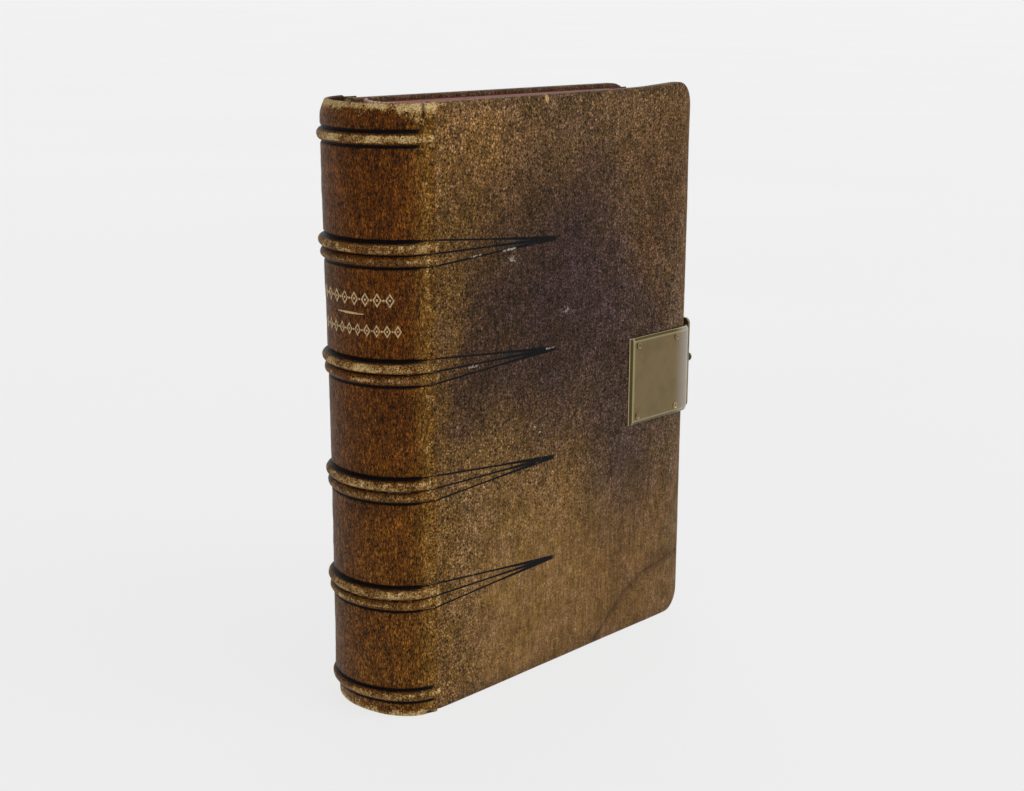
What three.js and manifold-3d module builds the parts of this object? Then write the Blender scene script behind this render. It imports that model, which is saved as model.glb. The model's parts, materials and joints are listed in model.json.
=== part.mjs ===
// Small clasped prayer book, bound in full leather over boards, standing on its tail edge.
// Millimetres. +Z up (tail to head), +X from the spine to the fore-edge, front cover facing -Y.
// The covers lean towards each other at the fore-edge, because the sewn spine is the thickest part.
import * as THREE from 'three';
import { mergeVertices } from 'three/addons/utils/BufferGeometryUtils.js';
import Module from 'manifold-3d';

const wasm = await Module();
wasm.setup();

// ---- driving dimensions -------------------------------------------------------------------

const HEIGHT = 165;               // height of the boards and of the spine
const COVER_WIDTH = 109.8;        // joint to fore-edge
const JOINT_HALF = 17.9;          // half the thickness of the book across its two joints
const TAPER = THREE.MathUtils.degToRad(1.65); // lean of each cover towards the middle
const SLOPE = Math.tan(TAPER);

const COVER_THICKNESS = 3.9;      // leather, board, turned-in leather and pastedown
const LEATHER = 0.9;              // cover leather
const TURN_IN = 0.4;              // leather pared thin where it is turned in
const TURN_IN_WIDTH = 10;
const JOINT_GAP = 0.4;            // cover edge to hinge line
const CORNER_RADIUS = 7.5;        // fore-edge corners of the covers
const EDGE_RADIUS = 2.6;          // rounding of the fore-edge, outer side
const EDGE_RADIUS_INNER = 0.8;    // rounding of the fore-edge, inner side
const CLEAR = 0.1;                // clearance between layers

const SPINE_BULGE = 14.4;         // how far the spine stands out behind the joints
const SPINE_LEATHER = 1.0;
const CARD = 0.4;                 // card inside the hollow back
const CARD_GAP = 0.25;            // spine leather to card
const STRIP_GAP = 0.12;           // spine leather to the strips under its bands
const SPINE_STEPS = 20;

const BAND_RISE = 1.3;            // height of a raised band above the panels
const BAND_SLOPE = 0.8;           // width of each sloping side of a band
const BAND_CENTRES = [33.8, 64.0, 95.7, 126.8];
const BAND_HALF = 3.5;            // half the height of a raised band, foot to foot
const FILLET_CENTRES = [5.8, 155.9];
const FILLET_HALF = 2.0;
const FILLET_RISE = 0.9;
const BAND_FADE = THREE.MathUtils.degToRad(25); // the bands die away this far before the joints

const SQUARE = 2.2;               // how far the boards stand beyond the leaves at head and tail
const SECTION_COUNT = 12;
const MOVING_SECTIONS = 3;        // sections at each side that turn with the covers
const TEXT_HALF = JOINT_HALF - COVER_THICKNESS - 0.55; // half thickness of the leaves at x = 0
const TEXT_START = 4.6;           // first section's fold, from the joint
const TEXT_ROUND = 6;             // rounding of the back of the text block
const PAGE_WIDTH = 101.1;
const PAGE_CORNER = 5;
const FLYLEAF = 0.24;
const FLYLEAF_GAP = 0.25;         // outermost leaf to the middle of the flyleaf

// Layers on the back of the text block: nearest and farthest distance behind the folds.
const TAPE_LAYER = [0.2, 0.5];
const LINING_LAYER = [0.65, 0.95];
const ENDBAND_LAYER = [-1.0, 0.6];
const TAPE_WIDTH = 8;
const LINING_INSET = 9;           // lining, in from head and tail
const ENDBAND = 1.5;              // height of an endband
const ENDBAND_GAP = 0.15;         // leaves to endband

const BRASS = 0.6;                // sheet brass of the clasp
const CLASP_Z = 78.7;               // mid height of the clasp plates
const PLATE_HEIGHT = 26.6;
const FRONT_PLATE_LENGTH = 29.1;  // on the cover, measured back from the fore-edge
const BACK_PLATE_LENGTH = 22.5;
const PLATE_BEVEL = 1.5;
const PLATE_LIP = 0.15;           // thickness left at the bevel's foot
const PLATE_GAP = 0.08;           // leather to brass
const PLATE_RETURN = 3.5;         // depth of the plate's return on the fore-edge
const PIN_INSET = 3.7;            // pins, in from the plate's end
const PIN_FORE = 7.1;             // pins, in from the fore-edge
const PIN_ROW = 10.8;             // pins, above and below the plate's middle
const PIN_RADIUS = 0.45;
const PIN_HEAD_RADIUS = 0.95;
const PIN_HEAD = 0.3;
const PIN_DEPTH = 3.0;            // how deep a pin reaches below the leather's face
const PIN_CLEAR = 0.1;            // pin to its hole, at the side
const PIN_HEAD_CLEAR = 0.05;      // brass to the underside of a pin's head
const PIN_FOOT = 0.15;            // pin to its hole, at the bottom

const STRAP_X = 110.7;            // inner face of the strap
const STRAP = 0.8;                // thickness of the strap
const STRAP_Z = [65.6, 93.8];
const STRAP_END = -13.9;          // free end of the strap, just short of the front cover's face
const STRAP_CORNER = 1.6;
const BARREL_X = 111.65;
const BARREL_Y = 12.9;
const BARREL_RADIUS = 1.15;
const BARREL_BORE = 0.6;
const HINGE_PIN_RADIUS = 0.5;
const KNUCKLE = 9.2;              // height of each outer knuckle
const KNUCKLE_GAP = 0.2;
const NECK_CLEAR = 0.35;          // strap's shoulder to the outer knuckles
const KNOB_Y = -12.4;
const KNOB_Z = 81.2;
const KNOB_SHANK = 0.65;
const KNOB_CLEAR = 0.1;           // shank to its hole
const ROUND_STEPS = 16;

// ---- materials ----------------------------------------------------------------------------

const material = (color, roughness, metalness = 0) =>
  new THREE.MeshStandardMaterial({ color, roughness, metalness });

const LEATHER_BROWN = () => material(0x6e4a30, 0.5);
const LEATHER_DARK = () => material(0x5c3f32, 0.5);
const BOARD_GREY = () => material(0xa08c70, 0.9);
const MAROON = () => material(0x4a1a20, 0.7);
const PAPER = () => material(0xd9c9a8, 0.85);
const LINEN = () => material(0xcdbf9f, 0.9);
const SILK = () => material(0x8a2f2b, 0.6);
const BRASS_DULL = () => material(0x6c5e3e, 0.35, 1);
const BRASS_DARK = () => material(0x3f3a2c, 0.4, 1);

// ---- helpers ------------------------------------------------------------------------------

function bare(geometry) {
  geometry.deleteAttribute('normal');
  geometry.deleteAttribute('uv');
  return mergeVertices(geometry, 1e-5);
}

function toSolid(geometry) {
  const merged = bare(geometry);
  return new wasm.Manifold(new wasm.Mesh({
    numProp: 3,
    vertProperties: new Float32Array(merged.attributes.position.array),
    triVerts: new Uint32Array(merged.index.array),
  }));
}

function toGeometry(solid) {
  const mesh = solid.getMesh();
  const geometry = new THREE.BufferGeometry();
  geometry.setAttribute('position', new THREE.BufferAttribute(mesh.vertProperties, 3));
  geometry.setIndex(new THREE.BufferAttribute(mesh.triVerts, 1));
  return geometry;
}

// An outline in X and Y, extruded up from z0 to z1.
function prism(shape, z0, z1, curveSegments = 6) {
  const geometry = new THREE.ExtrudeGeometry(shape, {
    depth: z1 - z0, bevelEnabled: false, curveSegments,
  });
  return geometry.translate(0, 0, z0);
}

// An outline in X and Z, extruded along Y from y0 to y1.
function panel(shape, y0, y1, curveSegments = 6) {
  const geometry = new THREE.ExtrudeGeometry(shape, {
    depth: y1 - y0, bevelEnabled: false, curveSegments,
  });
  return geometry.rotateX(Math.PI / 2).translate(0, y1, 0);
}

function cylinderZ(radius, z0, z1, x, y, steps = ROUND_STEPS) {
  const geometry = new THREE.CylinderGeometry(radius, radius, z1 - z0, steps);
  return geometry.rotateX(Math.PI / 2).translate(x, y, (z0 + z1) / 2);
}

function cylinderY(radius, y0, y1, x, z, steps = ROUND_STEPS) {
  const geometry = new THREE.CylinderGeometry(radius, radius, y1 - y0, steps);
  return geometry.translate(x, (y0 + y1) / 2, z);
}

function block(x0, x1, y0, y1, z0, z1) {
  const geometry = new THREE.BoxGeometry(x1 - x0, y1 - y0, z1 - z0);
  return geometry.translate((x0 + x1) / 2, (y0 + y1) / 2, (z0 + z1) / 2);
}

// Square at the joint side, round at the two fore-edge corners.
function coverOutline(x0, x1, z0, z1, radius) {
  const shape = new THREE.Shape();
  shape.moveTo(x0, z0);
  shape.lineTo(x1 - radius, z0);
  shape.absarc(x1 - radius, z0 + radius, radius, -Math.PI / 2, 0, false);
  shape.lineTo(x1, z1 - radius);
  shape.absarc(x1 - radius, z1 - radius, radius, 0, Math.PI / 2, false);
  shape.lineTo(x0, z1);
  shape.closePath();
  return shape;
}

function mirrored(geometry) {
  const flipped = bare(geometry.clone());
  flipped.scale(1, -1, 1);
  const index = flipped.index.array;
  for (let i = 0; i < index.length; i += 3) {
    [index[i], index[i + 1]] = [index[i + 1], index[i]];
  }
  return flipped;
}

function named(name, geometry, finish) {
  const mesh = new THREE.Mesh(geometry, finish);
  mesh.name = name;
  return mesh;
}

// ---- spine --------------------------------------------------------------------------------

// The spine's outer face is half an ellipse; its angle is 0 at the middle and 90 degrees at a joint.
function spinePoint(angle, offset) {
  const nx = -Math.cos(angle) / SPINE_BULGE;
  const ny = Math.sin(angle) / JOINT_HALF;
  const scale = offset / Math.hypot(nx, ny);
  return new THREE.Vector2(
    -SPINE_BULGE * Math.cos(angle) + nx * scale,
    JOINT_HALF * Math.sin(angle) + ny * scale,
  );
}

function spineShell(outer, inner, halfAngle, steps = SPINE_STEPS) {
  const points = [];
  for (let i = 0; i <= steps; i += 1) {
    const angle = halfAngle * (1 - 2 * i / steps);
    points.push(spinePoint(angle, outer(angle)));
  }
  for (let i = steps; i >= 0; i -= 1) {
    const angle = halfAngle * (1 - 2 * i / steps);
    points.push(spinePoint(angle, inner(angle)));
  }
  return new THREE.Shape(points);
}

function bandFade(angle) {
  const t = Math.min(1, (Math.PI / 2 - Math.abs(angle)) / BAND_FADE);
  return t * t * (3 - 2 * t);
}

// Leather moulded over the bands: the same C-shaped section at each level, moved out at a band.
function spineLeather() {
  const levels = [{ z: 0, rise: 0 }];
  const bands = [
    ...BAND_CENTRES.map((centre) => ({ centre, half: BAND_HALF, rise: BAND_RISE })),
    ...FILLET_CENTRES.map((centre) => ({ centre, half: FILLET_HALF, rise: FILLET_RISE })),
  ].sort((a, b) => a.centre - b.centre);
  for (const { centre, half, rise } of bands) {
    levels.push({ z: centre - half, rise: 0 });
    levels.push({ z: centre - half + BAND_SLOPE, rise });
    levels.push({ z: centre + half - BAND_SLOPE, rise });
    levels.push({ z: centre + half, rise: 0 });
  }
  levels.push({ z: HEIGHT, rise: 0 });

  const section = spineShell(() => 0, () => -SPINE_LEATHER, Math.PI / 2);
  const steps = levels.length - 1;
  const geometry = new THREE.ExtrudeGeometry(section, { depth: steps, steps, bevelEnabled: false });
  const position = geometry.attributes.position;
  for (let i = 0; i < position.count; i += 1) {
    const level = levels[Math.round(position.getZ(i))];
    const x = position.getX(i);
    const y = position.getY(i);
    const angle = Math.atan2(y / JOINT_HALF, -x / SPINE_BULGE);
    const limited = THREE.MathUtils.clamp(angle, -Math.PI / 2, Math.PI / 2);
    const shift = spinePoint(limited, level.rise * bandFade(limited)).sub(spinePoint(limited, 0));
    position.setXYZ(i, x + shift.x, y + shift.y, level.z);
  }
  return named('spine_leather', bare(geometry), LEATHER_BROWN());
}

function spineCard() {
  const outer = -SPINE_LEATHER - CARD_GAP;
  const shape = spineShell(() => outer, () => outer - CARD, THREE.MathUtils.degToRad(80));
  return named('spine_hollow_card', prism(shape, SQUARE, HEIGHT - SQUARE), BOARD_GREY());
}

function bandStrip(name, centre, half, rise) {
  const inner = -SPINE_LEATHER - STRIP_GAP;
  const outer = (angle) => inner + (rise - CLEAR) * bandFade(angle);
  const shape = spineShell(outer, () => inner, THREE.MathUtils.degToRad(70), 14);
  const reach = half - BAND_SLOPE - STRIP_GAP;
  return named(name, prism(shape, centre - reach, centre + reach), BOARD_GREY());
}

// ---- text block ---------------------------------------------------------------------------

// Position of a section's fold, for a height y measured in the text block at x = 0.
const foldX = (y) => TEXT_START - TEXT_ROUND * (1 - (y / TEXT_HALF) ** 2);
const taperAt = (x) => 1 - x * SLOPE / TEXT_HALF;
const SECTION_PITCH = 2 * TEXT_HALF / SECTION_COUNT;

function leaves(name, yLow, yHigh, finish) {
  const outline = coverOutline(0, PAGE_WIDTH, SQUARE, HEIGHT - SQUARE, PAGE_CORNER);
  const geometry = panel(outline, 0, 1, 4);
  const position = geometry.attributes.position;
  for (let i = 0; i < position.count; i += 1) {
    const y = THREE.MathUtils.lerp(yLow, yHigh, position.getY(i));
    const x = foldX(y) + position.getX(i);
    position.setXYZ(i, x, y * taperAt(x), position.getZ(i));
  }
  return named(name, bare(geometry), finish);
}

function section(number) {
  const yLow = -TEXT_HALF + (number - 1) * SECTION_PITCH;
  const name = `section_${String(number).padStart(2, '0')}`;
  return leaves(name, yLow + CLEAR / 2, yLow + SECTION_PITCH - CLEAR / 2, PAPER());
}

function flyleaf(name, side) {
  const middle = TEXT_HALF + FLYLEAF_GAP;
  const thin = FLYLEAF / 2;
  const outline = coverOutline(0, PAGE_WIDTH, SQUARE, HEIGHT - SQUARE, PAGE_CORNER);
  const geometry = panel(outline, -thin, thin, 4);
  const position = geometry.attributes.position;
  for (let i = 0; i < position.count; i += 1) {
    const x = TEXT_START + position.getX(i);
    position.setXYZ(i, x, side * (middle - x * SLOPE) + position.getY(i), position.getZ(i));
  }
  return named(name, bare(geometry), PAPER());
}

// A layer that follows the rounded back of the text block, from section fold to section fold.
function backLayer(near, far) {
  const points = [];
  const heights = [];
  for (let i = 0; i <= SECTION_COUNT; i += 1) {
    heights.push(-TEXT_HALF + i * SECTION_PITCH);
  }
  for (const y of heights) {
    points.push(new THREE.Vector2(foldX(y) - near, y));
  }
  for (const y of heights.reverse()) {
    points.push(new THREE.Vector2(foldX(y) - far, y));
  }
  return new THREE.Shape(points);
}

function sewingTape(number, centre) {
  const half = TAPE_WIDTH / 2;
  const tape = prism(backLayer(...TAPE_LAYER), centre - half, centre + half);
  return named(`sewing_tape_${number}`, tape, LINEN());
}

function spineLining() {
  const lining = prism(backLayer(...LINING_LAYER), LINING_INSET, HEIGHT - LINING_INSET);
  return named('spine_lining', lining, LINEN());
}

function endband(name, z0) {
  return named(name, prism(backLayer(...ENDBAND_LAYER), z0, z0 + ENDBAND), SILK());
}

// ---- covers, in the front cover's own frame: X from the joint, Y inwards from the outer face ---

function coverSection() {
  const shape = new THREE.Shape();
  shape.moveTo(JOINT_GAP, 0);
  shape.lineTo(COVER_WIDTH - EDGE_RADIUS, 0);
  shape.absarc(COVER_WIDTH - EDGE_RADIUS, EDGE_RADIUS, EDGE_RADIUS, -Math.PI / 2, 0, false);
  const inner = COVER_THICKNESS - EDGE_RADIUS_INNER;
  shape.absarc(COVER_WIDTH - EDGE_RADIUS_INNER, inner, EDGE_RADIUS_INNER, 0, Math.PI / 2, false);
  shape.lineTo(JOINT_GAP, COVER_THICKNESS);
  shape.closePath();
  return shape;
}

function pinPlaces(plateLength) {
  const places = [];
  for (const x of [COVER_WIDTH - plateLength + PIN_INSET, COVER_WIDTH - PIN_FORE]) {
    for (const z of [CLASP_Z + PIN_ROW, CLASP_Z - PIN_ROW]) {
      places.push([x, z]);
    }
  }
  return places;
}

function drillPins(solid, plateLength) {
  let drilled = solid;
  for (const [x, z] of pinPlaces(plateLength)) {
    drilled = drilled.subtract(toSolid(cylinderY(PIN_RADIUS + PIN_CLEAR, -2, PIN_DEPTH + PIN_FOOT, x, z)));
  }
  return drilled;
}

function coverLeather(plateLength) {
  const outline = coverOutline(0, COVER_WIDTH, 0, HEIGHT, CORNER_RADIUS);
  const body = toSolid(prism(coverSection(), 0, HEIGHT))
    .intersect(toSolid(panel(outline, -1, COVER_THICKNESS + 1, 8)));
  const pocketFloor = COVER_THICKNESS - TURN_IN;
  const pocket = coverOutline(
    -1, COVER_WIDTH - LEATHER, LEATHER, HEIGHT - LEATHER, CORNER_RADIUS - LEATHER,
  );
  const inset = TURN_IN_WIDTH;
  const open = coverOutline(-1, COVER_WIDTH - inset, inset, HEIGHT - inset, 1);
  const hollowed = body
    .subtract(toSolid(panel(pocket, LEATHER, pocketFloor, 8)))
    .subtract(toSolid(panel(open, pocketFloor - 0.2, COVER_THICKNESS + 1, 2)));
  return toGeometry(drillPins(hollowed, plateLength));
}

function coverBoard(plateLength) {
  const edge = LEATHER + CLEAR;
  const outline = coverOutline(
    JOINT_GAP, COVER_WIDTH - edge, edge, HEIGHT - edge, CORNER_RADIUS - edge,
  );
  const solid = toSolid(panel(outline, edge, COVER_THICKNESS - TURN_IN - CLEAR, 8));
  // The outer fore-edge corner is taken off, so that the leather keeps its thickness there.
  const corner = new THREE.Shape([
    new THREE.Vector2(COVER_WIDTH - EDGE_RADIUS - 0.4, 0),
    new THREE.Vector2(COVER_WIDTH, 0),
    new THREE.Vector2(COVER_WIDTH, EDGE_RADIUS + 0.2),
  ]);
  return toGeometry(drillPins(solid.subtract(toSolid(prism(corner, -1, HEIGHT + 1))), plateLength));
}

function coverPastedown() {
  const inset = TURN_IN_WIDTH + 0.3;
  const outline = coverOutline(JOINT_GAP + 1, COVER_WIDTH - inset, inset, HEIGHT - inset, 1);
  return panel(outline, COVER_THICKNESS - TURN_IN, COVER_THICKNESS - CLEAR, 2);
}

// Sheet brass on the outer face, bent round the fore-edge, with a filed bevel at its plain end.
function plateShape(plateLength) {
  const gap = PLATE_GAP;
  const start = COVER_WIDTH - plateLength;
  const arcX = COVER_WIDTH - EDGE_RADIUS;
  const near = EDGE_RADIUS + gap;
  const far = near + BRASS;
  const shape = new THREE.Shape();
  shape.moveTo(start, -gap);
  shape.lineTo(start, -gap - PLATE_LIP);
  shape.lineTo(start + PLATE_BEVEL, -gap - BRASS);
  shape.lineTo(arcX, -gap - BRASS);
  shape.absarc(arcX, EDGE_RADIUS, far, -Math.PI / 2, 0, false);
  shape.lineTo(arcX + far, PLATE_RETURN);
  shape.lineTo(arcX + near, PLATE_RETURN);
  shape.absarc(arcX, EDGE_RADIUS, near, 0, -Math.PI / 2, true);
  shape.closePath();
  return shape;
}

function claspPlate(plateLength) {
  const half = PLATE_HEIGHT / 2;
  const sheet = toSolid(prism(plateShape(plateLength), CLASP_Z - half, CLASP_Z + half));
  return drillPins(sheet, plateLength);
}

function platePin(x, z) {
  const top = -PLATE_GAP - BRASS - PIN_HEAD_CLEAR;
  const profile = [
    new THREE.Vector2(0, PIN_DEPTH),
    new THREE.Vector2(PIN_RADIUS, PIN_DEPTH),
    new THREE.Vector2(PIN_RADIUS, top),
    new THREE.Vector2(PIN_HEAD_RADIUS, top),
    new THREE.Vector2(PIN_HEAD_RADIUS * 0.8, top - PIN_HEAD),
    new THREE.Vector2(PIN_HEAD_RADIUS * 0.35, top - PIN_HEAD),
    new THREE.Vector2(0, top - PIN_HEAD * 0.6),
  ];
  return new THREE.LatheGeometry(profile.reverse(), ROUND_STEPS).translate(x, 0, z);
}

// ---- clasp --------------------------------------------------------------------------------

const KNUCKLE_LOW = [STRAP_Z[0], STRAP_Z[0] + KNUCKLE];
const KNUCKLE_HIGH = [STRAP_Z[1] - KNUCKLE, STRAP_Z[1]];
const KNUCKLE_MID = [KNUCKLE_LOW[1] + KNUCKLE_GAP, KNUCKLE_HIGH[0] - KNUCKLE_GAP];

const barrel = ([z0, z1]) => toSolid(cylinderZ(BARREL_RADIUS, z0, z1, BARREL_X, BARREL_Y));
const bore = () => toSolid(cylinderZ(BARREL_BORE, 0, HEIGHT, BARREL_X, BARREL_Y));

// Stands an object at one of the joints, leaning by the taper (side -1 is the front cover).
function placeCover(object, side) {
  object.position.set(0, side * JOINT_HALF, 0);
  object.rotation.z = -side * TAPER;
  object.updateMatrix();
  return object;
}

function backPlate() {
  const inBook = new THREE.Matrix4().copy(placeCover(new THREE.Object3D(), 1).matrix);
  const sheet = mirrored(toGeometry(claspPlate(BACK_PLATE_LENGTH))).applyMatrix4(inBook);
  let plate = toSolid(sheet);
  for (const levels of [KNUCKLE_LOW, KNUCKLE_HIGH]) {
    const low = Math.max(levels[0], CLASP_Z - PLATE_HEIGHT / 2);
    const high = Math.min(levels[1], CLASP_Z + PLATE_HEIGHT / 2);
    const web = block(
      COVER_WIDTH + 0.3, BARREL_X, BARREL_Y - 0.5, BARREL_Y + 0.6, low, high,
    );
    plate = plate.add(barrel(levels)).add(toSolid(web));
  }
  return named('back_clasp_plate', toGeometry(plate.subtract(bore())), BRASS_DULL());
}

function claspStrap() {
  const shoulder = BARREL_Y - BARREL_RADIUS - NECK_CLEAR;
  const radius = STRAP_CORNER;
  const outline = new THREE.Shape();
  outline.moveTo(shoulder, STRAP_Z[0]);
  outline.lineTo(shoulder, STRAP_Z[1]);
  outline.lineTo(STRAP_END + radius, STRAP_Z[1]);
  outline.absarc(STRAP_END + radius, STRAP_Z[1] - radius, radius, Math.PI / 2, Math.PI, false);
  outline.lineTo(STRAP_END, STRAP_Z[0] + radius);
  outline.absarc(STRAP_END + radius, STRAP_Z[0] + radius, radius, Math.PI, 1.5 * Math.PI, false);
  outline.closePath();
  // drawn in Y and Z, extruded along X
  const bar = new THREE.ExtrudeGeometry(outline, {
    depth: STRAP, bevelEnabled: false, curveSegments: 5,
  });
  bar.applyMatrix4(new THREE.Matrix4().set(0, 0, 1, STRAP_X, 1, 0, 0, 0, 0, 1, 0, 0, 0, 0, 0, 1));
  const neck = block(STRAP_X, STRAP_X + STRAP, shoulder - 0.5, BARREL_Y, ...KNUCKLE_MID);
  const hole = toSolid(new THREE.CylinderGeometry(
    KNOB_SHANK + KNOB_CLEAR, KNOB_SHANK + KNOB_CLEAR, 4, ROUND_STEPS,
  )
    .rotateZ(Math.PI / 2).translate(STRAP_X, KNOB_Y, KNOB_Z));
  const strap = toSolid(bar)
    .add(toSolid(neck))
    .add(barrel(KNUCKLE_MID))
    .subtract(bore())
    .subtract(hole);
  return named('clasp_strap', toGeometry(strap), BRASS_DULL());
}

function claspKnob() {
  const face = STRAP_X + STRAP + 0.05;
  const profile = [
    new THREE.Vector2(0, -STRAP),
    new THREE.Vector2(KNOB_SHANK, -STRAP),
    new THREE.Vector2(KNOB_SHANK, 0),
    new THREE.Vector2(0.95, 0),
    new THREE.Vector2(0.95, 0.6),
    new THREE.Vector2(1.35, 1.0),
    new THREE.Vector2(1.35, 1.6),
    new THREE.Vector2(0.95, 2.1),
    new THREE.Vector2(0, 2.3),
  ];
  const knob = new THREE.LatheGeometry(profile, ROUND_STEPS)
    .rotateZ(-Math.PI / 2).translate(face, KNOB_Y, KNOB_Z);
  return named('clasp_knob', bare(knob), BRASS_DARK());
}

function hingePin() {
  const low = STRAP_Z[0] - 0.3;
  const high = STRAP_Z[1] + 0.3;
  return named('clasp_hinge_pin',
    cylinderZ(HINGE_PIN_RADIUS, low, high, BARREL_X, BARREL_Y), BRASS_DARK());
}

// ---- assembly -----------------------------------------------------------------------------

function cover(prefix, side, plateLength) {
  const group = placeCover(new THREE.Group(), side);
  const place = (geometry) => (side > 0 ? mirrored(geometry) : bare(geometry));
  const part = (name, geometry, finish) =>
    group.add(named(`${prefix}_${name}`, place(geometry), finish));
  part('leather', coverLeather(plateLength), side > 0 ? LEATHER_DARK() : LEATHER_BROWN());
  part('board', coverBoard(plateLength), BOARD_GREY());
  part('pastedown', coverPastedown(), MAROON());
  pinPlaces(plateLength).forEach(([x, z], i) => {
    part(`clasp_pin_${i + 1}`, platePin(x, z), BRASS_DARK());
  });
  if (side < 0) {
    part('clasp_plate', toGeometry(claspPlate(plateLength)), BRASS_DULL());
  }
  return group;
}

const book = new THREE.Group();
book.add(spineLeather(), spineCard(), spineLining());
BAND_CENTRES.forEach((centre, i) => {
  book.add(bandStrip(`raised_band_${i + 1}`, centre, BAND_HALF, BAND_RISE));
  book.add(sewingTape(i + 1, centre));
});
FILLET_CENTRES.forEach((centre, i) => {
  book.add(bandStrip(['tail_fillet', 'head_fillet'][i], centre, FILLET_HALF, FILLET_RISE));
});
book.add(endband('head_endband', HEIGHT - SQUARE + ENDBAND_GAP));
book.add(endband('tail_endband', SQUARE - ENDBAND_GAP - ENDBAND));
for (let number = 1; number <= SECTION_COUNT; number += 1) {
  book.add(section(number));
}
book.add(flyleaf('front_flyleaf', -1), flyleaf('back_flyleaf', 1));
book.add(cover('front', -1, FRONT_PLATE_LENGTH), cover('back', 1, BACK_PLATE_LENGTH));
book.add(backPlate(), claspStrap(), claspKnob(), hingePin());

// The origin is the middle of the book's footprint, on the surface that it stands on.
book.updateMatrixWorld(true);
const middle = new THREE.Box3().setFromObject(book).getCenter(new THREE.Vector3());
book.position.set(-middle.x, -middle.y, 0);

export default book;
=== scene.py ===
"""Looks of the clasped prayer book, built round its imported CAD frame.

Lengths are millimetres in the book's own frame: X from the joints to the fore-edge, Y through the
thickness with the front cover at -Y, Z up from the tail. place() turns them into the row's metres.
"""

import functools

import json
import math

import bmesh
import bpy
import numpy as np
from mathutils import Matrix, Vector, noise


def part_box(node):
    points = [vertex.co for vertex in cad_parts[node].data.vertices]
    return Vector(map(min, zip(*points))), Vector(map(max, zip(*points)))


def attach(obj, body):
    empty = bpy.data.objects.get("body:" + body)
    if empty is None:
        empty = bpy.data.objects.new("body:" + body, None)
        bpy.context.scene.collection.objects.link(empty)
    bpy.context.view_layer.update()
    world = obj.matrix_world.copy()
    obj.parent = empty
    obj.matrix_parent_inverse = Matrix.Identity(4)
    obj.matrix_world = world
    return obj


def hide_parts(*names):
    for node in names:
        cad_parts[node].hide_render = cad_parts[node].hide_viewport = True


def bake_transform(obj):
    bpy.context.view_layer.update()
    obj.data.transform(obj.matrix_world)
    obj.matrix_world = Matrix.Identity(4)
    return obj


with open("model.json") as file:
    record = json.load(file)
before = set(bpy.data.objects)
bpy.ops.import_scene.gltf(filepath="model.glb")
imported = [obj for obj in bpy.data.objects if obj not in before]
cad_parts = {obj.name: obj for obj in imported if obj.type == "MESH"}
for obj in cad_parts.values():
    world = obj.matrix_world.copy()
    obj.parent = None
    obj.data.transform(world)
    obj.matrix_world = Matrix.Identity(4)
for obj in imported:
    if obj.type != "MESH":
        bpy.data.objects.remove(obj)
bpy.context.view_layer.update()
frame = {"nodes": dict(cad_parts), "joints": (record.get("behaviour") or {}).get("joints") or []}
nodes = frame["nodes"]

# ---- driving dimensions -----------------------------------------------------------------------

MM = 0.001
hinges = {joint["name"]: joint for joint in frame["joints"]}
JOINT_X = hinges["front_cover_hinge"]["pos_m"][0] / MM
JOINT_HALF = -hinges["front_cover_hinge"]["pos_m"][1] / MM
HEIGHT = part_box("spine_leather")[1].z / MM
TAPER = math.radians(1.65)
COVER_WIDTH = 109.8
COVER_THICKNESS = 3.9
CORNER_RADIUS = 7.5
SPINE_BULGE = 14.4
FRONT, BACK = -1, 1               # which way the covers lie along Y
SIDES = {"front": FRONT, "back": BACK}
FLAT_Y = 40.0                     # noise on the covers is read on flat planes this far out

BAND_CENTRES = [33.8, 64.0, 95.7, 126.8]
BAND_LINE = 3.4                   # outer tooled lines, above and below a band's middle
TOOLED_LINES = (BAND_LINE, -0.1, -BAND_LINE)
UPPER_RIDGE = (1.55, 1.65, 1.5)   # middle, half height and rise of a double band's ridges
LOWER_RIDGE = (-1.7, 1.45, 1.0)
FILLET_RISE = 1.0
HEAD_LINES = (158.0, 154.2)
TAIL_LINES = (7.8, 4.1)
FAN_LENGTH = 48.5                 # tooled fans on the covers, from the joint to their points
FAN_TIP = -1.2                    # height of a fan's point against its band's middle

LEAF_HALF = 13.45                 # half thickness of the leaves at the joints
LEAF_START = 4.6
LEAF_ROUND = 6.0
PAGE_WIDTH = 101.1
PAGE_CORNER = 5.0
SQUARE = 2.2
SECTIONS = 12
LOOSE_SECTIONS = 3                # sections at each side that are not attached to the root
SECTION_GAP = 0.03
LEAVES_IN_SECTION = 12            # leaves that show at the edges of one section

CLASP_Z = 78.7
PLATE_HEIGHT = 26.6
PLATE_LENGTH = 29.1
PLATE_RETURN = 3.5
BACK_PLATE_LENGTH = 22.5
EDGE_RADIUS = 2.6
BRASS = 0.6                       # thickness of the clasp's sheet
PLATE_GAP = 0.08                  # between the front plate and the leather


# ---- small numeric tools ----------------------------------------------------------------------

def smooth(x, low=0.0, high=1.0):
    t = np.clip((np.asarray(x, float) - low) / (high - low), 0, 1)
    return t * t * (3 - 2 * t)


def falling(x, low, high):
    """1 up to low, easing to 0 at high."""
    return 1 - smooth(x, low, high)


def bell(x, centre, half):
    return np.exp(-((np.asarray(x, float) - centre) / half) ** 2)


def place(points):
    """Book millimetres to row metres."""
    return (np.asarray(points, float) + [JOINT_X, 0, 0]) * MM


def fractal(points, size, octaves=3, seed=0.0):
    """Smooth noise from -1 to 1 at each point (millimetres), with features about size across."""
    shift = Vector((seed * 17.3, seed * 5.1, seed * 9.7))
    return np.array([
        noise.fractal(Vector(p) / size + shift, 0.8, 2.0, octaves) for p in np.asarray(points)
    ])


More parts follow.
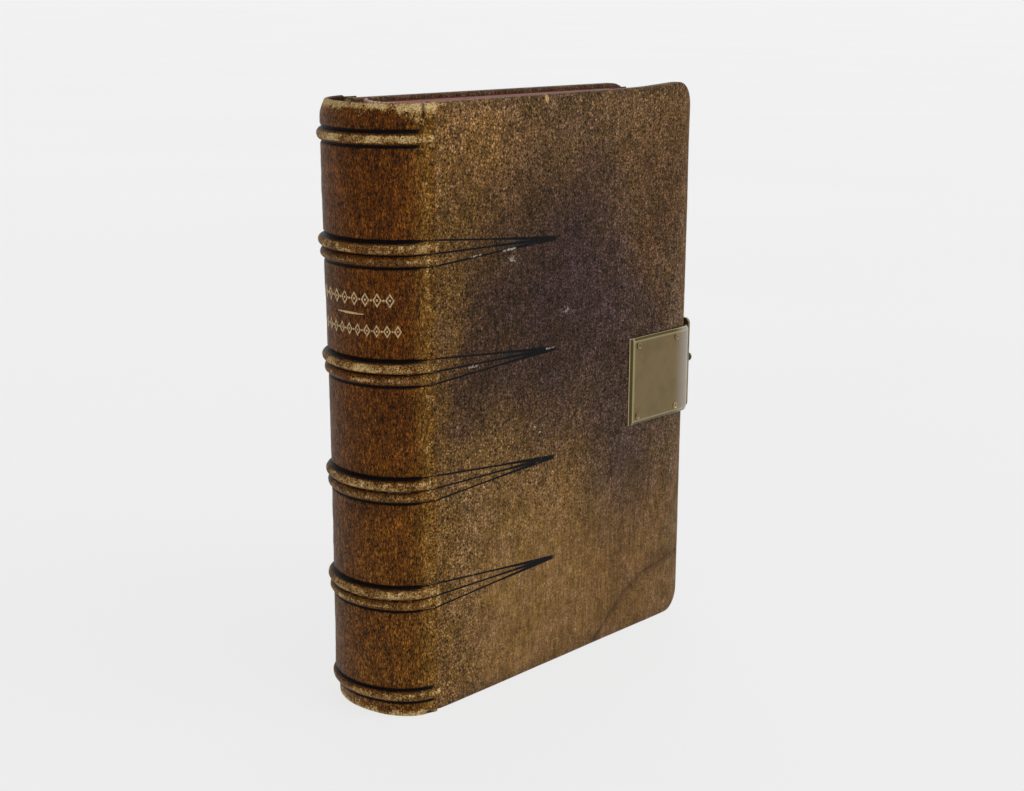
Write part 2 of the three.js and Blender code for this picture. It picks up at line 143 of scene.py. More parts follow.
def spine_xy(angle, offset):
    """Point of the spine's ellipse; angle 0 is the middle, -90 degrees the front joint."""
    angle = np.asarray(angle, float)
    nx, ny = -np.cos(angle) / SPINE_BULGE, np.sin(angle) / JOINT_HALF
    scale = offset / np.hypot(nx, ny)
    return -SPINE_BULGE * np.cos(angle) + nx * scale, JOINT_HALF * np.sin(angle) + ny * scale


def path_length(x, y):
    return np.concatenate([[0], np.cumsum(np.hypot(np.diff(x), np.diff(y)))])


ARC_ANGLE = np.linspace(-math.pi / 2, math.pi / 2, 721)
ARC_LENGTH = path_length(*spine_xy(ARC_ANGLE, 0.0))
SPINE_ARC = ARC_LENGTH[-1]        # leather across the spine, from joint to joint


def spine_angle(arc):
    return np.interp(arc, ARC_LENGTH, ARC_ANGLE)


def spine_points(arc, offset, z):
    """Points of the spine at arc along the leather, offset out from its flat ellipse."""
    return np.stack([*spine_xy(spine_angle(arc), offset), z], 1)


def joint_distance(arc):
    """Distance along the leather to the nearer joint; arc is the distance from the front joint."""
    return np.minimum(arc, SPINE_ARC - arc)


def cover_points(side, x, depth, z):
    """Points of a cover: x from the joint, depth inwards from the outer face."""
    x, depth, z = np.broadcast_arrays(x, depth, z)
    c, s = math.cos(TAPER), math.sin(TAPER)
    return np.stack([x * c - depth * s, side * (JOINT_HALF - x * s - depth * c), z], -1)


# ---- relief of the leather --------------------------------------------------------------------

def band_offset(z):
    """Height above the nearest band's middle."""
    z = np.asarray(z, float)
    gaps = z[..., None] - np.array(BAND_CENTRES)
    nearest = np.abs(gaps).argmin(-1)
    return np.take_along_axis(gaps, nearest[..., None], -1)[..., 0]


def ridge(x, centre, half, rise):
    inside = np.clip(1 - ((x - centre) / half) ** 2, 0, 1)
    return rise * inside ** 0.75


def band_relief(z):
    """Two rounded ridges with a tooled line between them and one at each side."""
    dz = band_offset(z)
    grooves = 0.35 * bell(dz, BAND_LINE, 0.5) + 0.3 * bell(dz, -BAND_LINE, 0.45)
    relief = np.maximum(ridge(dz, *UPPER_RIDGE), ridge(dz, *LOWER_RIDGE)) - grooves
    for top, bottom in (HEAD_LINES, TAIL_LINES):
        relief = relief + ridge(z, (top + bottom) / 2, (top - bottom) / 2 - 0.25, FILLET_RISE)
        relief = relief - 0.3 * bell(z, top, 0.45) - 0.3 * bell(z, bottom, 0.4)
    return relief


def spine_fade(arc):
    """1 over the spine, falling to 0 at the joints."""
    return smooth(joint_distance(arc), 0.4, 6.0)


def under_joint(distance):
    """How far the leather beside a joint sinks below the strip that covers the joint."""
    return 0.55 * falling(distance, 0.9, 2.3)


def fan_lines(x):
    """Heights of the three tooled lines of a fan, against the band's middle, x from the joint."""
    share = np.clip(x / FAN_LENGTH, 0, 1)
    return [start + (FAN_TIP - start) * share for start in TOOLED_LINES]


def fan_relief(x, z):
    dz = band_offset(z)
    depth = 0
    for line in fan_lines(x):
        depth = np.maximum(depth, bell(dz, line, 0.28))
    return -0.16 * depth * falling(x, FAN_LENGTH - 0.5, FAN_LENGTH + 0.8)


def joint_relief(s):
    """The worn ridge of leather along a joint and the shallow dip beside it; s is + on a cover."""
    return 0.18 * bell(s, -0.4, 0.9) - 0.12 * bell(s, 2.6, 1.3)


# ---- mesh building ----------------------------------------------------------------------------

def add_object(name, data):
    piece = bpy.data.objects.new(name, data)
    bpy.context.scene.collection.objects.link(piece)
    return piece


def mesh_object(name, points, faces, smooth_faces=True):
    mesh = bpy.data.meshes.new(name)
    mesh.from_pydata(np.asarray(points).tolist(), [], faces)
    mesh.validate()
    mesh.polygons.foreach_set("use_smooth", [smooth_faces] * len(mesh.polygons))
    mesh.update()
    return add_object(name, mesh)


def store(piece, name, values):
    """A value for each vertex: a number, a vector or a colour."""
    values = np.asarray(values, np.float32)
    if values.ndim == 1:
        layer = piece.data.attributes.new(name, "FLOAT", "POINT")
        layer.data.foreach_set("value", values)
    elif values.shape[1] == 3:
        layer = piece.data.attributes.new(name, "FLOAT_VECTOR", "POINT")
        layer.data.foreach_set("vector", values.ravel())
    else:
        layer = piece.data.attributes.new(name, "FLOAT_COLOR", "POINT")
        layer.data.foreach_set("color", values.ravel())


def rest(piece):
    """Stores each vertex's place in book millimetres, which the materials read."""
    count = len(piece.data.vertices)
    places = np.zeros(count * 3)
    piece.data.vertices.foreach_get("co", places)
    places = places.reshape(-1, 3) / MM - [JOINT_X, 0, 0]
    store(piece, "rest", places)
    return places


def grid_faces(rows, columns, start=0, flip=False):
    faces = []
    for r in range(rows - 1):
        for c in range(columns - 1):
            a = start + r * columns + c
            quad = (a, a + 1, a + columns + 1, a + columns)
            faces.append(quad[::-1] if flip else quad)
    return faces


def border(rows, columns, closed=True):
    """Indices round a grid's edge; left open, it stops before it goes back up the first column."""
    loop = list(range(columns))
    loop += [r * columns + columns - 1 for r in range(1, rows)]
    loop += [(rows - 1) * columns + c for c in range(columns - 2, -1, -1)]
    if closed:
        loop += [r * columns for r in range(rows - 2, 0, -1)]
    return loop


def round_corners(x, z, fore, low, high):
    """Moves the square corners of a grid, beyond fore and beyond low or high, onto round ones.

    Returns x, z and the outward direction at the points on the edge.
    """
    a = np.maximum(x - fore, 0)
    b = np.where(z < low, z - low, np.where(z > high, z - high, 0.0))
    reach = np.maximum(a, np.abs(b))
    share = np.divide(np.minimum(a, np.abs(b)), reach, out=np.zeros_like(reach), where=reach > 1e-9)
    turn = np.where(a >= np.abs(b), share, 2 - share) * math.pi / 4
    in_corner = (a > 1e-9) & (np.abs(b) > 1e-9)
    sign = np.where(b < 0, -1.0, 1.0)
    new_x = np.where(in_corner, fore + reach * np.cos(turn), x)
    new_z = np.where(in_corner, z - b + sign * reach * np.sin(turn), z)
    dx = np.where(in_corner, np.cos(turn), np.where(a > 1e-9, 1.0, 0.0))
    dz = np.where(in_corner, sign * np.sin(turn), np.where(a > 1e-9, 0.0, sign * (np.abs(b) > 1e-9)))
    return new_x, new_z, dx, dz


def both_faces(values):
    return np.concatenate([values, values])


def outer_face(values):
    return np.concatenate([values, 0 * values])


def tinted(tone, share, colour):
    """The tone of each vertex moved towards a colour, by its share."""
    return tone + share[:, None] * (np.array(colour) - tone)


def strongest(*marks):
    return functools.reduce(np.maximum, marks)


def settle(piece, material, body, node):
    """Gives a piece its material and its body, and hides the CAD node it stands for, if any."""
    piece.data.materials.append(material)
    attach(piece, body)
    if node:
        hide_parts(node)


def bend_with_cover(piece):
    """Bakes the piece's placement into its mesh."""
    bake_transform(piece)


def closed_sheet(name, outer, inner, flip=False):
    """A closed body between two grids of points, outer and inner, both rows by columns by 3."""
    rows, columns = outer.shape[:2]
    count = rows * columns
    faces = grid_faces(rows, columns, 0, flip) + grid_faces(rows, columns, count, not flip)
    loop = border(rows, columns)
    for i, a in enumerate(loop):
        b = loop[(i + 1) % len(loop)]
        quad = (b, a, a + count, b + count)
        faces.append(quad[::-1] if flip else quad)
    points = np.concatenate([outer.reshape(-1, 3), inner.reshape(-1, 3)])
    return mesh_object(name, place(points), faces)


def spaced(low, high, step):
    return np.linspace(low, high, max(2, int(round((high - low) / step)) + 1))


def tooled_rows(low, high, fine, coarse):
    """Heights from low to high, closer together across the bands and the head and tail lines."""
    zones = [(c - 4.6, c + 4.2) for c in BAND_CENTRES]
    zones += [(TAIL_LINES[1] - 1.4, TAIL_LINES[0] + 1.4), (HEAD_LINES[1] - 1.4, HEAD_LINES[0] + 1.4)]
    edges = [low]
    for a, b in sorted(zones):
        edges += [a, b]
    edges.append(high)
    rows = [low]
    for i in range(len(edges) - 1):
        step = fine if i % 2 else coarse
        rows += list(spaced(edges[i], edges[i + 1], step)[1:])
    return np.array(rows)


# ---- materials --------------------------------------------------------------------------------

class Paint:
    """A node material, written as nested calls."""

    def __init__(self, name):
        self.material = bpy.data.materials.new(name)
        self.material.use_nodes = True
        self.tree = self.material.node_tree
        self.surface = self.tree.nodes["Principled BSDF"]

    def wire(self, socket, value):
        if isinstance(value, bpy.types.NodeSocket):
            self.tree.links.new(value, socket)
        elif value is not None:
            socket.default_value = value

    def add(self, kind, settings=None, **inputs):
        node = self.tree.nodes.new(kind)
        for key, value in (settings or {}).items():
            setattr(node, key, value)
        for key, value in inputs.items():
            self.wire(node.inputs[key.replace("_", " ")], value)
        return node

    def math(self, operation, a, b=None, c=None):
        node = self.tree.nodes.new("ShaderNodeMath")
        node.operation = operation
        for i, value in enumerate((a, b, c)):
            self.wire(node.inputs[i], value)
        return node.outputs[0]

    def times(self, a, b):
        return self.math("MULTIPLY", a, b)

    def plus(self, a, b):
        return self.math("ADD", a, b)

    def minus(self, a, b):
        return self.math("SUBTRACT", a, b)

    def scaled(self, value, factor, offset):
        return self.math("MULTIPLY_ADD", value, factor, offset)

    def larger(self, a, b):
        return self.math("MAXIMUM", a, b)

    def smaller(self, a, b):
        return self.math("MINIMUM", a, b)

    def stretch(self, vector, scale):
        node = self.tree.nodes.new("ShaderNodeVectorMath")
        node.operation = "MULTIPLY"
        self.wire(node.inputs[0], vector)
        node.inputs[1].default_value = scale
        return node.outputs[0]

    def attribute(self, name, output="Vector"):
        node = self.tree.nodes.new("ShaderNodeAttribute")
        node.attribute_name = name
        return node.outputs[output]

    def object_place(self):
        return self.add("ShaderNodeTexCoord").outputs["Object"]

    def axes(self, vector):
        return self.add("ShaderNodeSeparateXYZ", Vector=vector).outputs

    def noise(self, vector, size, detail=3.0, rough=0.55):
        node = self.add("ShaderNodeTexNoise", Vector=vector, Scale=1 / size, Detail=detail,
                        Roughness=rough)
        return node.outputs[0]

    def cells(self, vector, size, feature="DISTANCE_TO_EDGE", output="Distance"):
        node = self.add("ShaderNodeTexVoronoi", {"feature": feature}, Vector=vector, Scale=1 / size)
        return node.outputs[output]

    def ramp(self, value, low, high, to_low=0.0, to_high=1.0):
        node = self.add("ShaderNodeMapRange", {"interpolation_type": "SMOOTHSTEP"}, Value=value)
        for i, number in enumerate((low, high, to_low, to_high)):
            node.inputs[i + 1].default_value = number
        return node.outputs[0]

    def mix(self, factor, a, b, blend="MIX"):
        node = self.tree.nodes.new("ShaderNodeMix")
        node.data_type = "RGBA"
        node.blend_type = blend
        self.wire(node.inputs[0], factor)
        self.wire(node.inputs[6], a)
        self.wire(node.inputs[7], b)
        return node.outputs[2]

    def bump(self, height, distance, strength):
        return self.add("ShaderNodeBump", Height=height, Distance=distance, Strength=strength).outputs[0]

    def finish(self, **inputs):
        for key, value in inputs.items():
            self.wire(self.surface.inputs[key.replace("_", " ")], value)
        return self.material


def srgb(r, g, b):
    """An sRGB colour of 0 to 255 as linear light."""
    def linear(v):
        v = v / 255
        return v / 12.92 if v <= 0.04045 else ((v + 0.055) / 1.055) ** 2.4
    return (linear(r), linear(g), linear(b), 1.0)


OCHRE = srgb(150, 108, 52)
CREAM = srgb(222, 198, 142)
SCUFFED = srgb(176, 164, 148)
# near black of the tooled lines, also used as painted shade inside the book
INK_AND_SHADE = srgb(10, 7, 9)


def leather(name, grain_stretch, grain_size, gloss, fans):
    """Grained leather: vertex colours, pebbled grain, worn and inked places, and hidden places painted
    dark as painted shade.
    """
    paint = Paint(name)
    spot = paint.attribute("rest")
    tone = paint.attribute("tone", "Color")
    wear = paint.attribute("wear", "Fac")
    # tooled ink, and painted shade on inner faces, turn-ins, the split and the torn place
    ink_and_shade = paint.attribute("ink_and_shade", "Fac")
    smoothness = paint.attribute("smoothed", "Fac")

    warp = paint.add("ShaderNodeVectorMath", {"operation": "MULTIPLY_ADD"})
    wobble = paint.add("ShaderNodeTexNoise", Vector=spot, Scale=0.9, Detail=1.0)
    paint.wire(warp.inputs[0], wobble.outputs["Color"])
    warp.inputs[1].default_value = (0.5, 0.5, 0.5)
    paint.wire(warp.inputs[2], spot)
    grained = paint.stretch(warp.outputs[0], grain_stretch)
    pebble = paint.cells(grained, grain_size)
    valley = paint.ramp(pebble, 0.0, 0.26, 1.0, 0.0)
    hue = paint.cells(grained, grain_size, "F1", "Color")
    fine = paint.noise(spot, 0.42, 3.0, 0.75)
    medium = paint.noise(spot, 3.2, 4.0, 0.6)
    large = paint.noise(spot, 14.0, 4.0, 0.6)
    streak = paint.noise(paint.stretch(spot, (1.0, 1.0, 0.12)), 0.7, 3.0, 0.65)

    # each pebble has its own tone, with streaks and specks; the darker valleys are partly the grain's own
    # colour and partly painted shade in its hollows
    pebble_tone = paint.add("ShaderNodeSeparateColor", Color=hue).outputs[0]
    crisp = paint.scaled(smoothness, -0.9, 1.0)
    light = paint.scaled(paint.minus(pebble_tone, 0.5), paint.times(crisp, 0.7), 1.06)
    dot = paint.ramp(paint.cells(grained, 1.3 * grain_size, "F1", "Distance"), 0.16, 0.46, 0.92, 0.0)
    flecks = paint.ramp(paint.noise(paint.stretch(spot, grain_stretch), 0.9, 3.0, 0.7), 0.52, 0.66)
    light = paint.scaled(paint.times(flecks, crisp), 0.45, light)
    dotted = paint.minus(paint.scaled(crisp, 0.28, 0.90), paint.times(dot, crisp))
    depth = paint.times(valley, paint.scaled(smoothness, -0.55, 0.66))
    pits = paint.ramp(paint.noise(spot, 1.1, 2.0, 0.6), 0.56, 0.66)
    for factor in (dotted, paint.ramp(medium, 0.25, 0.75, 0.76, 1.24),
                   paint.ramp(large, 0.3, 0.7, 0.88, 1.12), paint.ramp(streak, 0.3, 0.7, 0.74, 1.26),
                   paint.ramp(fine, 0.3, 0.7, 0.6, 1.4), paint.minus(1.0, depth),
                   paint.scaled(pits, paint.times(crisp, -0.6), 1.0)):
        light = paint.times(light, factor)
    warmth = paint.ramp(paint.noise(spot, 7.0, 3.0, 0.6), 0.3, 0.7, 0.78, 1.06)
    # painted sheen: the brighter a spot of the grain, the greyer it is painted
    cooler = paint.times(warmth, paint.ramp(light, 0.7, 1.9, 0.82, 1.5))
    shade = paint.add("ShaderNodeCombineColor", Red=light,
                      Green=paint.times(light, paint.ramp(light, 0.7, 1.9, 0.98, 1.12)),
                      Blue=paint.times(light, cooler)).outputs[0]
    colour = paint.mix(1.0, tone, shade, "MULTIPLY")

    # rubbed places: the dye is gone in flecks, most of all on the pebbles' tops
    patchy = paint.plus(paint.noise(spot, 0.42, 3.0, 0.7),
                        paint.times(paint.noise(spot, 1.8, 3.0, 0.6), 0.8))
    fleck = paint.plus(patchy, paint.times(wear, 0.85))
    fleck = paint.minus(fleck, paint.times(valley, 0.10))
    rubbed = paint.times(paint.ramp(fleck, 1.32, 1.44), paint.ramp(wear, 0.05, 0.3))
    grit = paint.noise(spot, 0.55, 3.0, 0.8)
    bared = paint.mix(paint.times(paint.ramp(fleck, 1.38, 1.60), paint.ramp(grit, 0.36, 0.58)),
                      OCHRE, CREAM)
    colour = paint.mix(paint.times(rubbed, 0.85), colour, bared)

    # tooled lines, drawn in ink: along the bands, and fanned out on the covers
    if fans:
        along, across, _ = paint.axes(paint.attribute("tool"))
        scuff = paint.plus(paint.attribute("scuff", "Fac"), paint.noise(spot, 0.7, 3.0, 0.8))
        scuff = paint.ramp(scuff, 1.04, 1.20)
        above = [paint.minus(across, paint.scaled(along, (FAN_TIP - start) / FAN_LENGTH, start))
                 for start in TOOLED_LINES]
        gaps = [paint.math("ABSOLUTE", value) for value in above]
        nearest = paint.smaller(paint.smaller(gaps[0], gaps[1]), gaps[2])
        # the two upper fans are filled in towards their points
        height = paint.axes(spot)[2]
        filled = paint.times(paint.ramp(above[0], -0.1, 0.0, 1.0, 0.0), paint.ramp(above[2], 0.0, 0.1))
        filled = paint.times(filled, paint.ramp(along, 0.4 * FAN_LENGTH, 0.7 * FAN_LENGTH, 0.0, 0.7))
        filled = paint.times(filled, paint.ramp(height, 80.0, 84.0))
        ragged = paint.scaled(paint.noise(spot, 0.7, 3.0, 0.7), 0.16, -0.08)
        heavier = paint.ramp(along, 0.4 * FAN_LENGTH, 0.92 * FAN_LENGTH, 0.0, 0.26)
        drawn = paint.ramp(paint.minus(paint.plus(nearest, ragged), heavier), 0.18, 0.34, 1.0, 0.0)
        reach = paint.ramp(along, FAN_LENGTH - 1.5, FAN_LENGTH + 0.3, 1.0, 0.0)
        drawn = paint.times(drawn, paint.times(reach, paint.ramp(along, -1.0, 0.5)))
        rubbed_out = paint.ramp(paint.noise(spot, 2.2, 3.0), 0.62, 0.72, 1.0, 0.45)
        ink_and_shade = paint.larger(ink_and_shade, paint.times(drawn, rubbed_out))
        colour = paint.mix(filled, colour, srgb(30, 30, 34))
    # near black: ink of the tooled lines, and painted shade on the hidden faces and the split
    colour = paint.mix(ink_and_shade, colour, INK_AND_SHADE)
    if fans:
        lace = paint.scaled(dot, -1.0, 1.0)
        colour = paint.mix(paint.times(scuff, paint.times(lace, 0.9)), colour, SCUFFED)

    rough = paint.plus(paint.ramp(fine, 0.3, 0.7, gloss - 0.06, gloss + 0.08),
                       paint.times(rubbed, 0.25))
    height = paint.minus(paint.ramp(pebble, 0.0, 0.32), paint.times(ink_and_shade, 0.6))
    height = paint.times(height, paint.scaled(smoothness, -0.75, 1.0))
    height = paint.plus(height, paint.times(fine, 0.25))
    height = paint.minus(height, paint.times(rubbed, 0.3))
    return paint.finish(Base_Color=colour, Roughness=rough, Normal=paint.bump(height, 0.00012, 0.8),
                        Specular_IOR_Level=0.07)


def paper(name, colour, spots):
    paint = Paint(name)
    spot = paint.attribute("rest")
    fibre = paint.noise(spot, 0.35, 4.0, 0.7)
    cloud = paint.noise(spot, 16.0, 4.0, 0.6)
    foxing = paint.ramp(paint.noise(spot, 5.0, 3.0, 0.6), 0.62, 0.74)
    tint = paint.mix(paint.ramp(cloud, 0.35, 0.7, 0.0, 0.5), colour,
                     paint.mix(1.0, colour, srgb(226, 204, 176), "MULTIPLY"))
    tint = paint.mix(paint.times(foxing, spots), tint, srgb(150, 104, 62))
    tint = paint.mix(paint.ramp(fibre, 0.35, 0.65, 0.0, 0.25), tint,
                     paint.mix(1.0, tint, srgb(214, 206, 196), "MULTIPLY"))
    return paint.finish(Base_Color=tint, Roughness=0.86, Normal=paint.bump(fibre, 0.00003, 0.5))


def stained_edge(name):
    """Cut edges of the leaves: red stain, rubbed and a little gilded, lined by the single leaves."""
    paint = Paint(name)
    spot = paint.attribute("rest")
    leaf = paint.attribute("leaf", "Fac")
    lined = paint.add("ShaderNodeCombineXYZ", X=leaf).outputs[0]
    fine = paint.noise(lined, 0.07, 2.0, 0.8)
    coarse = paint.noise(lined, 0.6, 3.0, 0.7)
    x, _, z = paint.axes(spot)
    broken = paint.add("ShaderNodeCombineXYZ", X=paint.times(leaf, 3.0), Y=paint.times(x, 0.16),
                       Z=paint.times(z, 0.16)).outputs[0]
    arris_highlight = paint.noise(broken, 1.0, 4.0, 0.7)
    cloud = paint.noise(spot, 18.0, 3.0, 0.5)
    red = paint.mix(paint.ramp(coarse, 0.3, 0.7), srgb(118, 30, 34), srgb(160, 54, 54))
    red = paint.mix(paint.ramp(fine, 0.35, 0.65, 0.0, 0.75), red, srgb(64, 14, 18))
    gilt = paint.times(paint.ramp(arris_highlight, 0.44, 0.72, 0.0, 0.7), paint.ramp(cloud, 0.35, 0.65, 0.3, 1.0))
    colour = paint.mix(gilt, red, srgb(190, 134, 78))
    metal = paint.times(gilt, 0.7)
    return paint.finish(Base_Color=colour, Roughness=0.48, Metallic=metal,
                        Normal=paint.bump(fine, 0.00006, 0.9))


def linen(name, colour):
    paint = Paint(name)
    spot = paint.object_place()
    warp, weft = (paint.add("ShaderNodeTexWave", {"bands_direction": axis}, Vector=spot, Scale=800.0,
                            Distortion=1.0, Detail=1.0).outputs["Fac"] for axis in "ZY")
    weave = paint.times(warp, weft)
    tint = paint.mix(paint.ramp(weave, 0.1, 0.8), srgb(66, 54, 40), colour)
    return paint.finish(Base_Color=tint, Roughness=0.92, Normal=paint.bump(weave, 0.00008, 0.8))


def board_stuff(name, dark, light):
    paint = Paint(name)
    spot = paint.object_place()
    pulp = paint.noise(spot, 0.0007, 5.0, 0.75)
    cloud = paint.noise(spot, 0.008, 3.0)
    tint = paint.mix(paint.ramp(pulp, 0.3, 0.7), dark, light)
    tint = paint.mix(paint.ramp(cloud, 0.4, 0.7, 0.0, 0.5), tint, dark)
    return paint.finish(Base_Color=tint, Roughness=0.94, Normal=paint.bump(pulp, 0.0001, 0.7))


def brass(name, bright, dark, rough, marked=False):
    """Old brass: handled and dulled, darker in random clouds and pits, with fine scratches; a marked
    plate also gets painted reflections and highlights.
    """
    paint = Paint(name)
    spot = paint.object_place()
    cloud = paint.noise(spot, 0.006, 4.0, 0.6)
    pits = paint.ramp(paint.noise(spot, 0.0006, 3.0, 0.7), 0.62, 0.72)
    scratch = paint.noise(paint.stretch(spot, (1.0, 1.0, 0.05)), 0.0003, 2.0, 0.6)
    rubs = paint.noise(paint.stretch(spot, (0.08, 0.08, 1.0)), 0.0002, 2.0, 0.6)
    tint = paint.mix(paint.ramp(cloud, 0.35, 0.68, 0.0, 0.8), bright, dark)
    tint = paint.mix(paint.times(pits, 0.5), tint, srgb(52, 44, 30))
    gloss = paint.plus(paint.ramp(cloud, 0.3, 0.7, rough - 0.05, rough + 0.1),
                       paint.ramp(scratch, 0.3, 0.7, -0.05, 0.05))
    if marked:
        # painted reflection: the bevel is painted dark olive
        tint = paint.mix(paint.attribute("bevel_dark_reflection", "Fac"), tint, srgb(66, 56, 16))
        # painted reflection: the bend is painted paler and greyer
        tint = paint.mix(paint.attribute("bend_sheen", "Fac"), tint, srgb(168, 160, 150))
        # painted highlight: bright lines on the arrises
        tint = paint.mix(paint.attribute("arris_highlight", "Fac"), tint, srgb(212, 200, 158))
    height = paint.plus(paint.times(scratch, 0.6), paint.times(rubs, 0.6))
    height = paint.minus(height, pits)
    return paint.finish(Base_Color=tint, Roughness=gloss, Metallic=0.9,
                        Normal=paint.bump(height, 0.000012, 0.5))


def gilt_foil(name):
    paint = Paint(name)
    spot = paint.attribute("rest")
    worn = paint.ramp(paint.noise(spot, 0.55, 4.0, 0.75), 0.50, 0.64)
    tint = paint.mix(worn, srgb(192, 164, 120), srgb(112, 78, 42))
    metal = paint.scaled(worn, -0.5, 0.55)
    return paint.finish(Base_Color=tint, Roughness=0.36, Metallic=metal,
                        Normal=paint.bump(worn, 0.00003, 0.5))


def silk(name):
    """Endband silk: two colours wound over a core."""
    paint = Paint(name)
    turn = paint.attribute("turn", "Fac")
    wave = paint.math("FRACT", turn)
    stripe = paint.ramp(paint.math("ABSOLUTE", paint.minus(wave, 0.5)), 0.22, 0.28)
    thread = paint.math("SINE", paint.times(turn, 37.7))
    tint = paint.mix(stripe, srgb(150, 44, 38), srgb(206, 186, 150))
    return paint.finish(Base_Color=tint, Roughness=0.55, Sheen_Weight=0.3,
                        Normal=paint.bump(thread, 0.00005, 0.6))


SPINE_LEATHER = leather("spine_leather", grain_stretch=(1.0, 1.0, 0.30), grain_size=0.42,
                        gloss=0.40, fans=False)
COVER_LEATHER = leather("cover_leather", grain_stretch=(1.0, 1.0, 0.85), grain_size=0.78,
                        gloss=0.46, fans=True)
PAGE_PAPER = paper("page_paper", srgb(226, 208, 172), spots=0.5)
FLYLEAF_PAPER = paper("flyleaf_paper", srgb(220, 198, 158), spots=0.8)
MAROON_PAPER = paper("maroon_paper", srgb(86, 30, 34), spots=0.0)
LEAF_EDGE = stained_edge("leaf_edge")
LINEN = linen("spine_linen", srgb(122, 106, 80))
BOARD = board_stuff("board", srgb(150, 130, 104), srgb(192, 174, 146))
CARD = board_stuff("card", srgb(58, 46, 38), srgb(84, 68, 56))
PLATE_BRASS = brass("clasp_brass", srgb(120, 103, 70), srgb(108, 92, 62), rough=0.24,
                    marked=True)
STRAP_BRASS = brass("strap_brass", srgb(140, 126, 98), srgb(104, 92, 68), rough=0.34)
PIN_BRASS = brass("pin_brass", srgb(168, 148, 110), srgb(96, 78, 48), rough=0.26)
DARK_BRASS = brass("dark_brass", srgb(66, 66, 52), srgb(40, 40, 32), rough=0.42)
GILT = gilt_foil("gilt")
SILK = silk("endband_silk")


# ---- colours of the leather -------------------------------------------------------------------

# Each patch: distance from the joint, height, half width, half height, colour, strength.
COVER_TONES = [
    (6, 156, 26, 14, srgb(156, 112, 64), 0.9),
    (56, 161, 52, 9, srgb(126, 94, 62), 0.8),
    (22, 130, 18, 14, srgb(100, 68, 28), 0.85),
    (52, 108, 28, 42, srgb(66, 46, 43), 1.0),
    (30, 104, 19, 22, srgb(64, 44, 38), 0.9),
    (82, 92, 28, 36, srgb(75, 55, 52), 0.9),
    (13, 96, 14, 23, srgb(74, 50, 34), 0.9),
    (14, 62, 14, 9, srgb(134, 100, 60), 0.6),
    (96, 128, 14, 30, srgb(100, 68, 42), 0.7),
    (3, 118, 6, 60, srgb(112, 78, 34), 0.6),
    (30, 36, 36, 36, srgb(132, 98, 58), 0.9),
    (92, 30, 22, 26, srgb(116, 84, 50), 0.75),
    (82, 62, 18, 26, srgb(80, 60, 52), 0.8),
    # painted reflection: this greyer strip on the rounded fore-edge stands for the bright side it
    # reflects
    (106, 60, 9, 60, srgb(112, 90, 72), 0.6),
    (0, 34, 8, 60, srgb(122, 86, 38), 0.75),
]


def cover_tone(x, z, points):
    """Base colour of a cover: stains, and a painted reflection along the fore-edge, their edges broken up
    by noise.
    """
    drift = 9 * fractal(points, 22, 4, seed=3)
    x = x + drift
    z = z + 0.8 * drift
    tone = np.tile(np.array(srgb(116, 84, 50)), (len(x), 1))
    for cx, cz, rx, rz, colour, strength in COVER_TONES:
        share = strength * np.exp(-(((x - cx) / rx) ** 2 + ((z - cz) / rz) ** 2) ** 1.3)
        tone = tinted(tone, share, colour)
    return tone


def spine_tone(arc, z, points):
    """Base colour across the spine: lighter to the tail, worn on the bands, with a painted greyish sheen
    towards the back joint.
    """
    tone = np.tile(np.array(srgb(110, 60, 10)), (len(arc), 1))
    cloud = fractal(points, 16, 4, seed=5)
    low = (0.75 * falling(z, 20, 105) + 0.25 * cloud).clip(0, 1)
    tone = tinted(tone, low, srgb(128, 82, 28))
    tone = tinted(tone, (0.35 + 0.6 * cloud).clip(0, 0.8), srgb(88, 46, 12))
    # painted sheen: the side towards the back joint, seen at a grazing angle, is painted greyer
    grazing_sheen = 0.5 * smooth(arc, 0.40 * SPINE_ARC, 0.72 * SPINE_ARC)
    tone = tinted(tone, grazing_sheen, srgb(114, 76, 46))
    worn = (0.55 + 0.6 * cloud).clip(0, 1) * smooth(band_relief(z), 0.35, 1.0)
    tone = tinted(tone, 0.6 * worn, srgb(138, 104, 62))
    return tinted(tone, 0.75 * bell(joint_distance(arc), 2.2, 3.6), srgb(130, 92, 36))


# ---- spine ------------------------------------------------------------------------------------

SHEET = 0.45                      # leather as one ply; it is turned over at head and tail
TURN = 1.05                       # whole thickness where it is turned over
TURN_DEPTH = 9                    # how far the turn-ins reach inside
INNER_FACE_PAINTED_SHADE = 0.8              # painted shade: the leather's inner face, hidden inside the book, is painted near black


def spine_path():
    """Rows of the spine leather, tail turn-in to head turn-in: height, inward shift, relief share."""
    fold = TURN / 2
    rows = [(z, TURN, 0.0) for z in np.linspace(TURN_DEPTH, fold, 8)]
    for a in np.linspace(0, math.pi, 11)[1:-1]:
        rows.append((fold - fold * math.sin(a), fold + fold * math.cos(a), 0.5 - 0.5 * math.cos(a)))
    rows += [(z, 0.0, 1.0) for z in tooled_rows(fold, HEIGHT - fold, 0.22, 0.65)]
    for a in np.linspace(0, math.pi, 11)[1:-1]:
        rows.append((HEIGHT - fold + fold * math.sin(a), fold - fold * math.cos(a),
                     0.5 + 0.5 * math.cos(a)))
    rows += [(z, TURN, 0.0) for z in np.linspace(HEIGHT - fold, HEIGHT - TURN_DEPTH, 8)]
    return np.array(rows)


def spine_relief(arc, z, points):
    """How far the spine's leather stands out: bands, dents, full ends, a split and a torn place."""
    relief = (band_relief(z) * spine_fade(arc)
              + 0.10 * fractal(points, 9, 3, seed=1) + 0.05 * fractal(points, 2.4, 2, seed=2)
              + joint_relief(-joint_distance(arc))
              + 0.28 * smooth(z, HEIGHT - 4.5, HEIGHT - 1.2) + 0.15 * falling(z, 0.4, 3.0))
    # a split in the head cap beside the front joint, and a torn place at the tail
    split = bell(arc, 3.4, 0.28) * smooth(z, HEIGHT - 4.6, HEIGHT - 2.6)
    torn = bell(arc, 2.4, 1.9) * falling(z + 0.5 * fractal(points, 1.2, 2, seed=8), 0.7, 1.7)
    return relief - 0.55 * split - 0.5 * torn


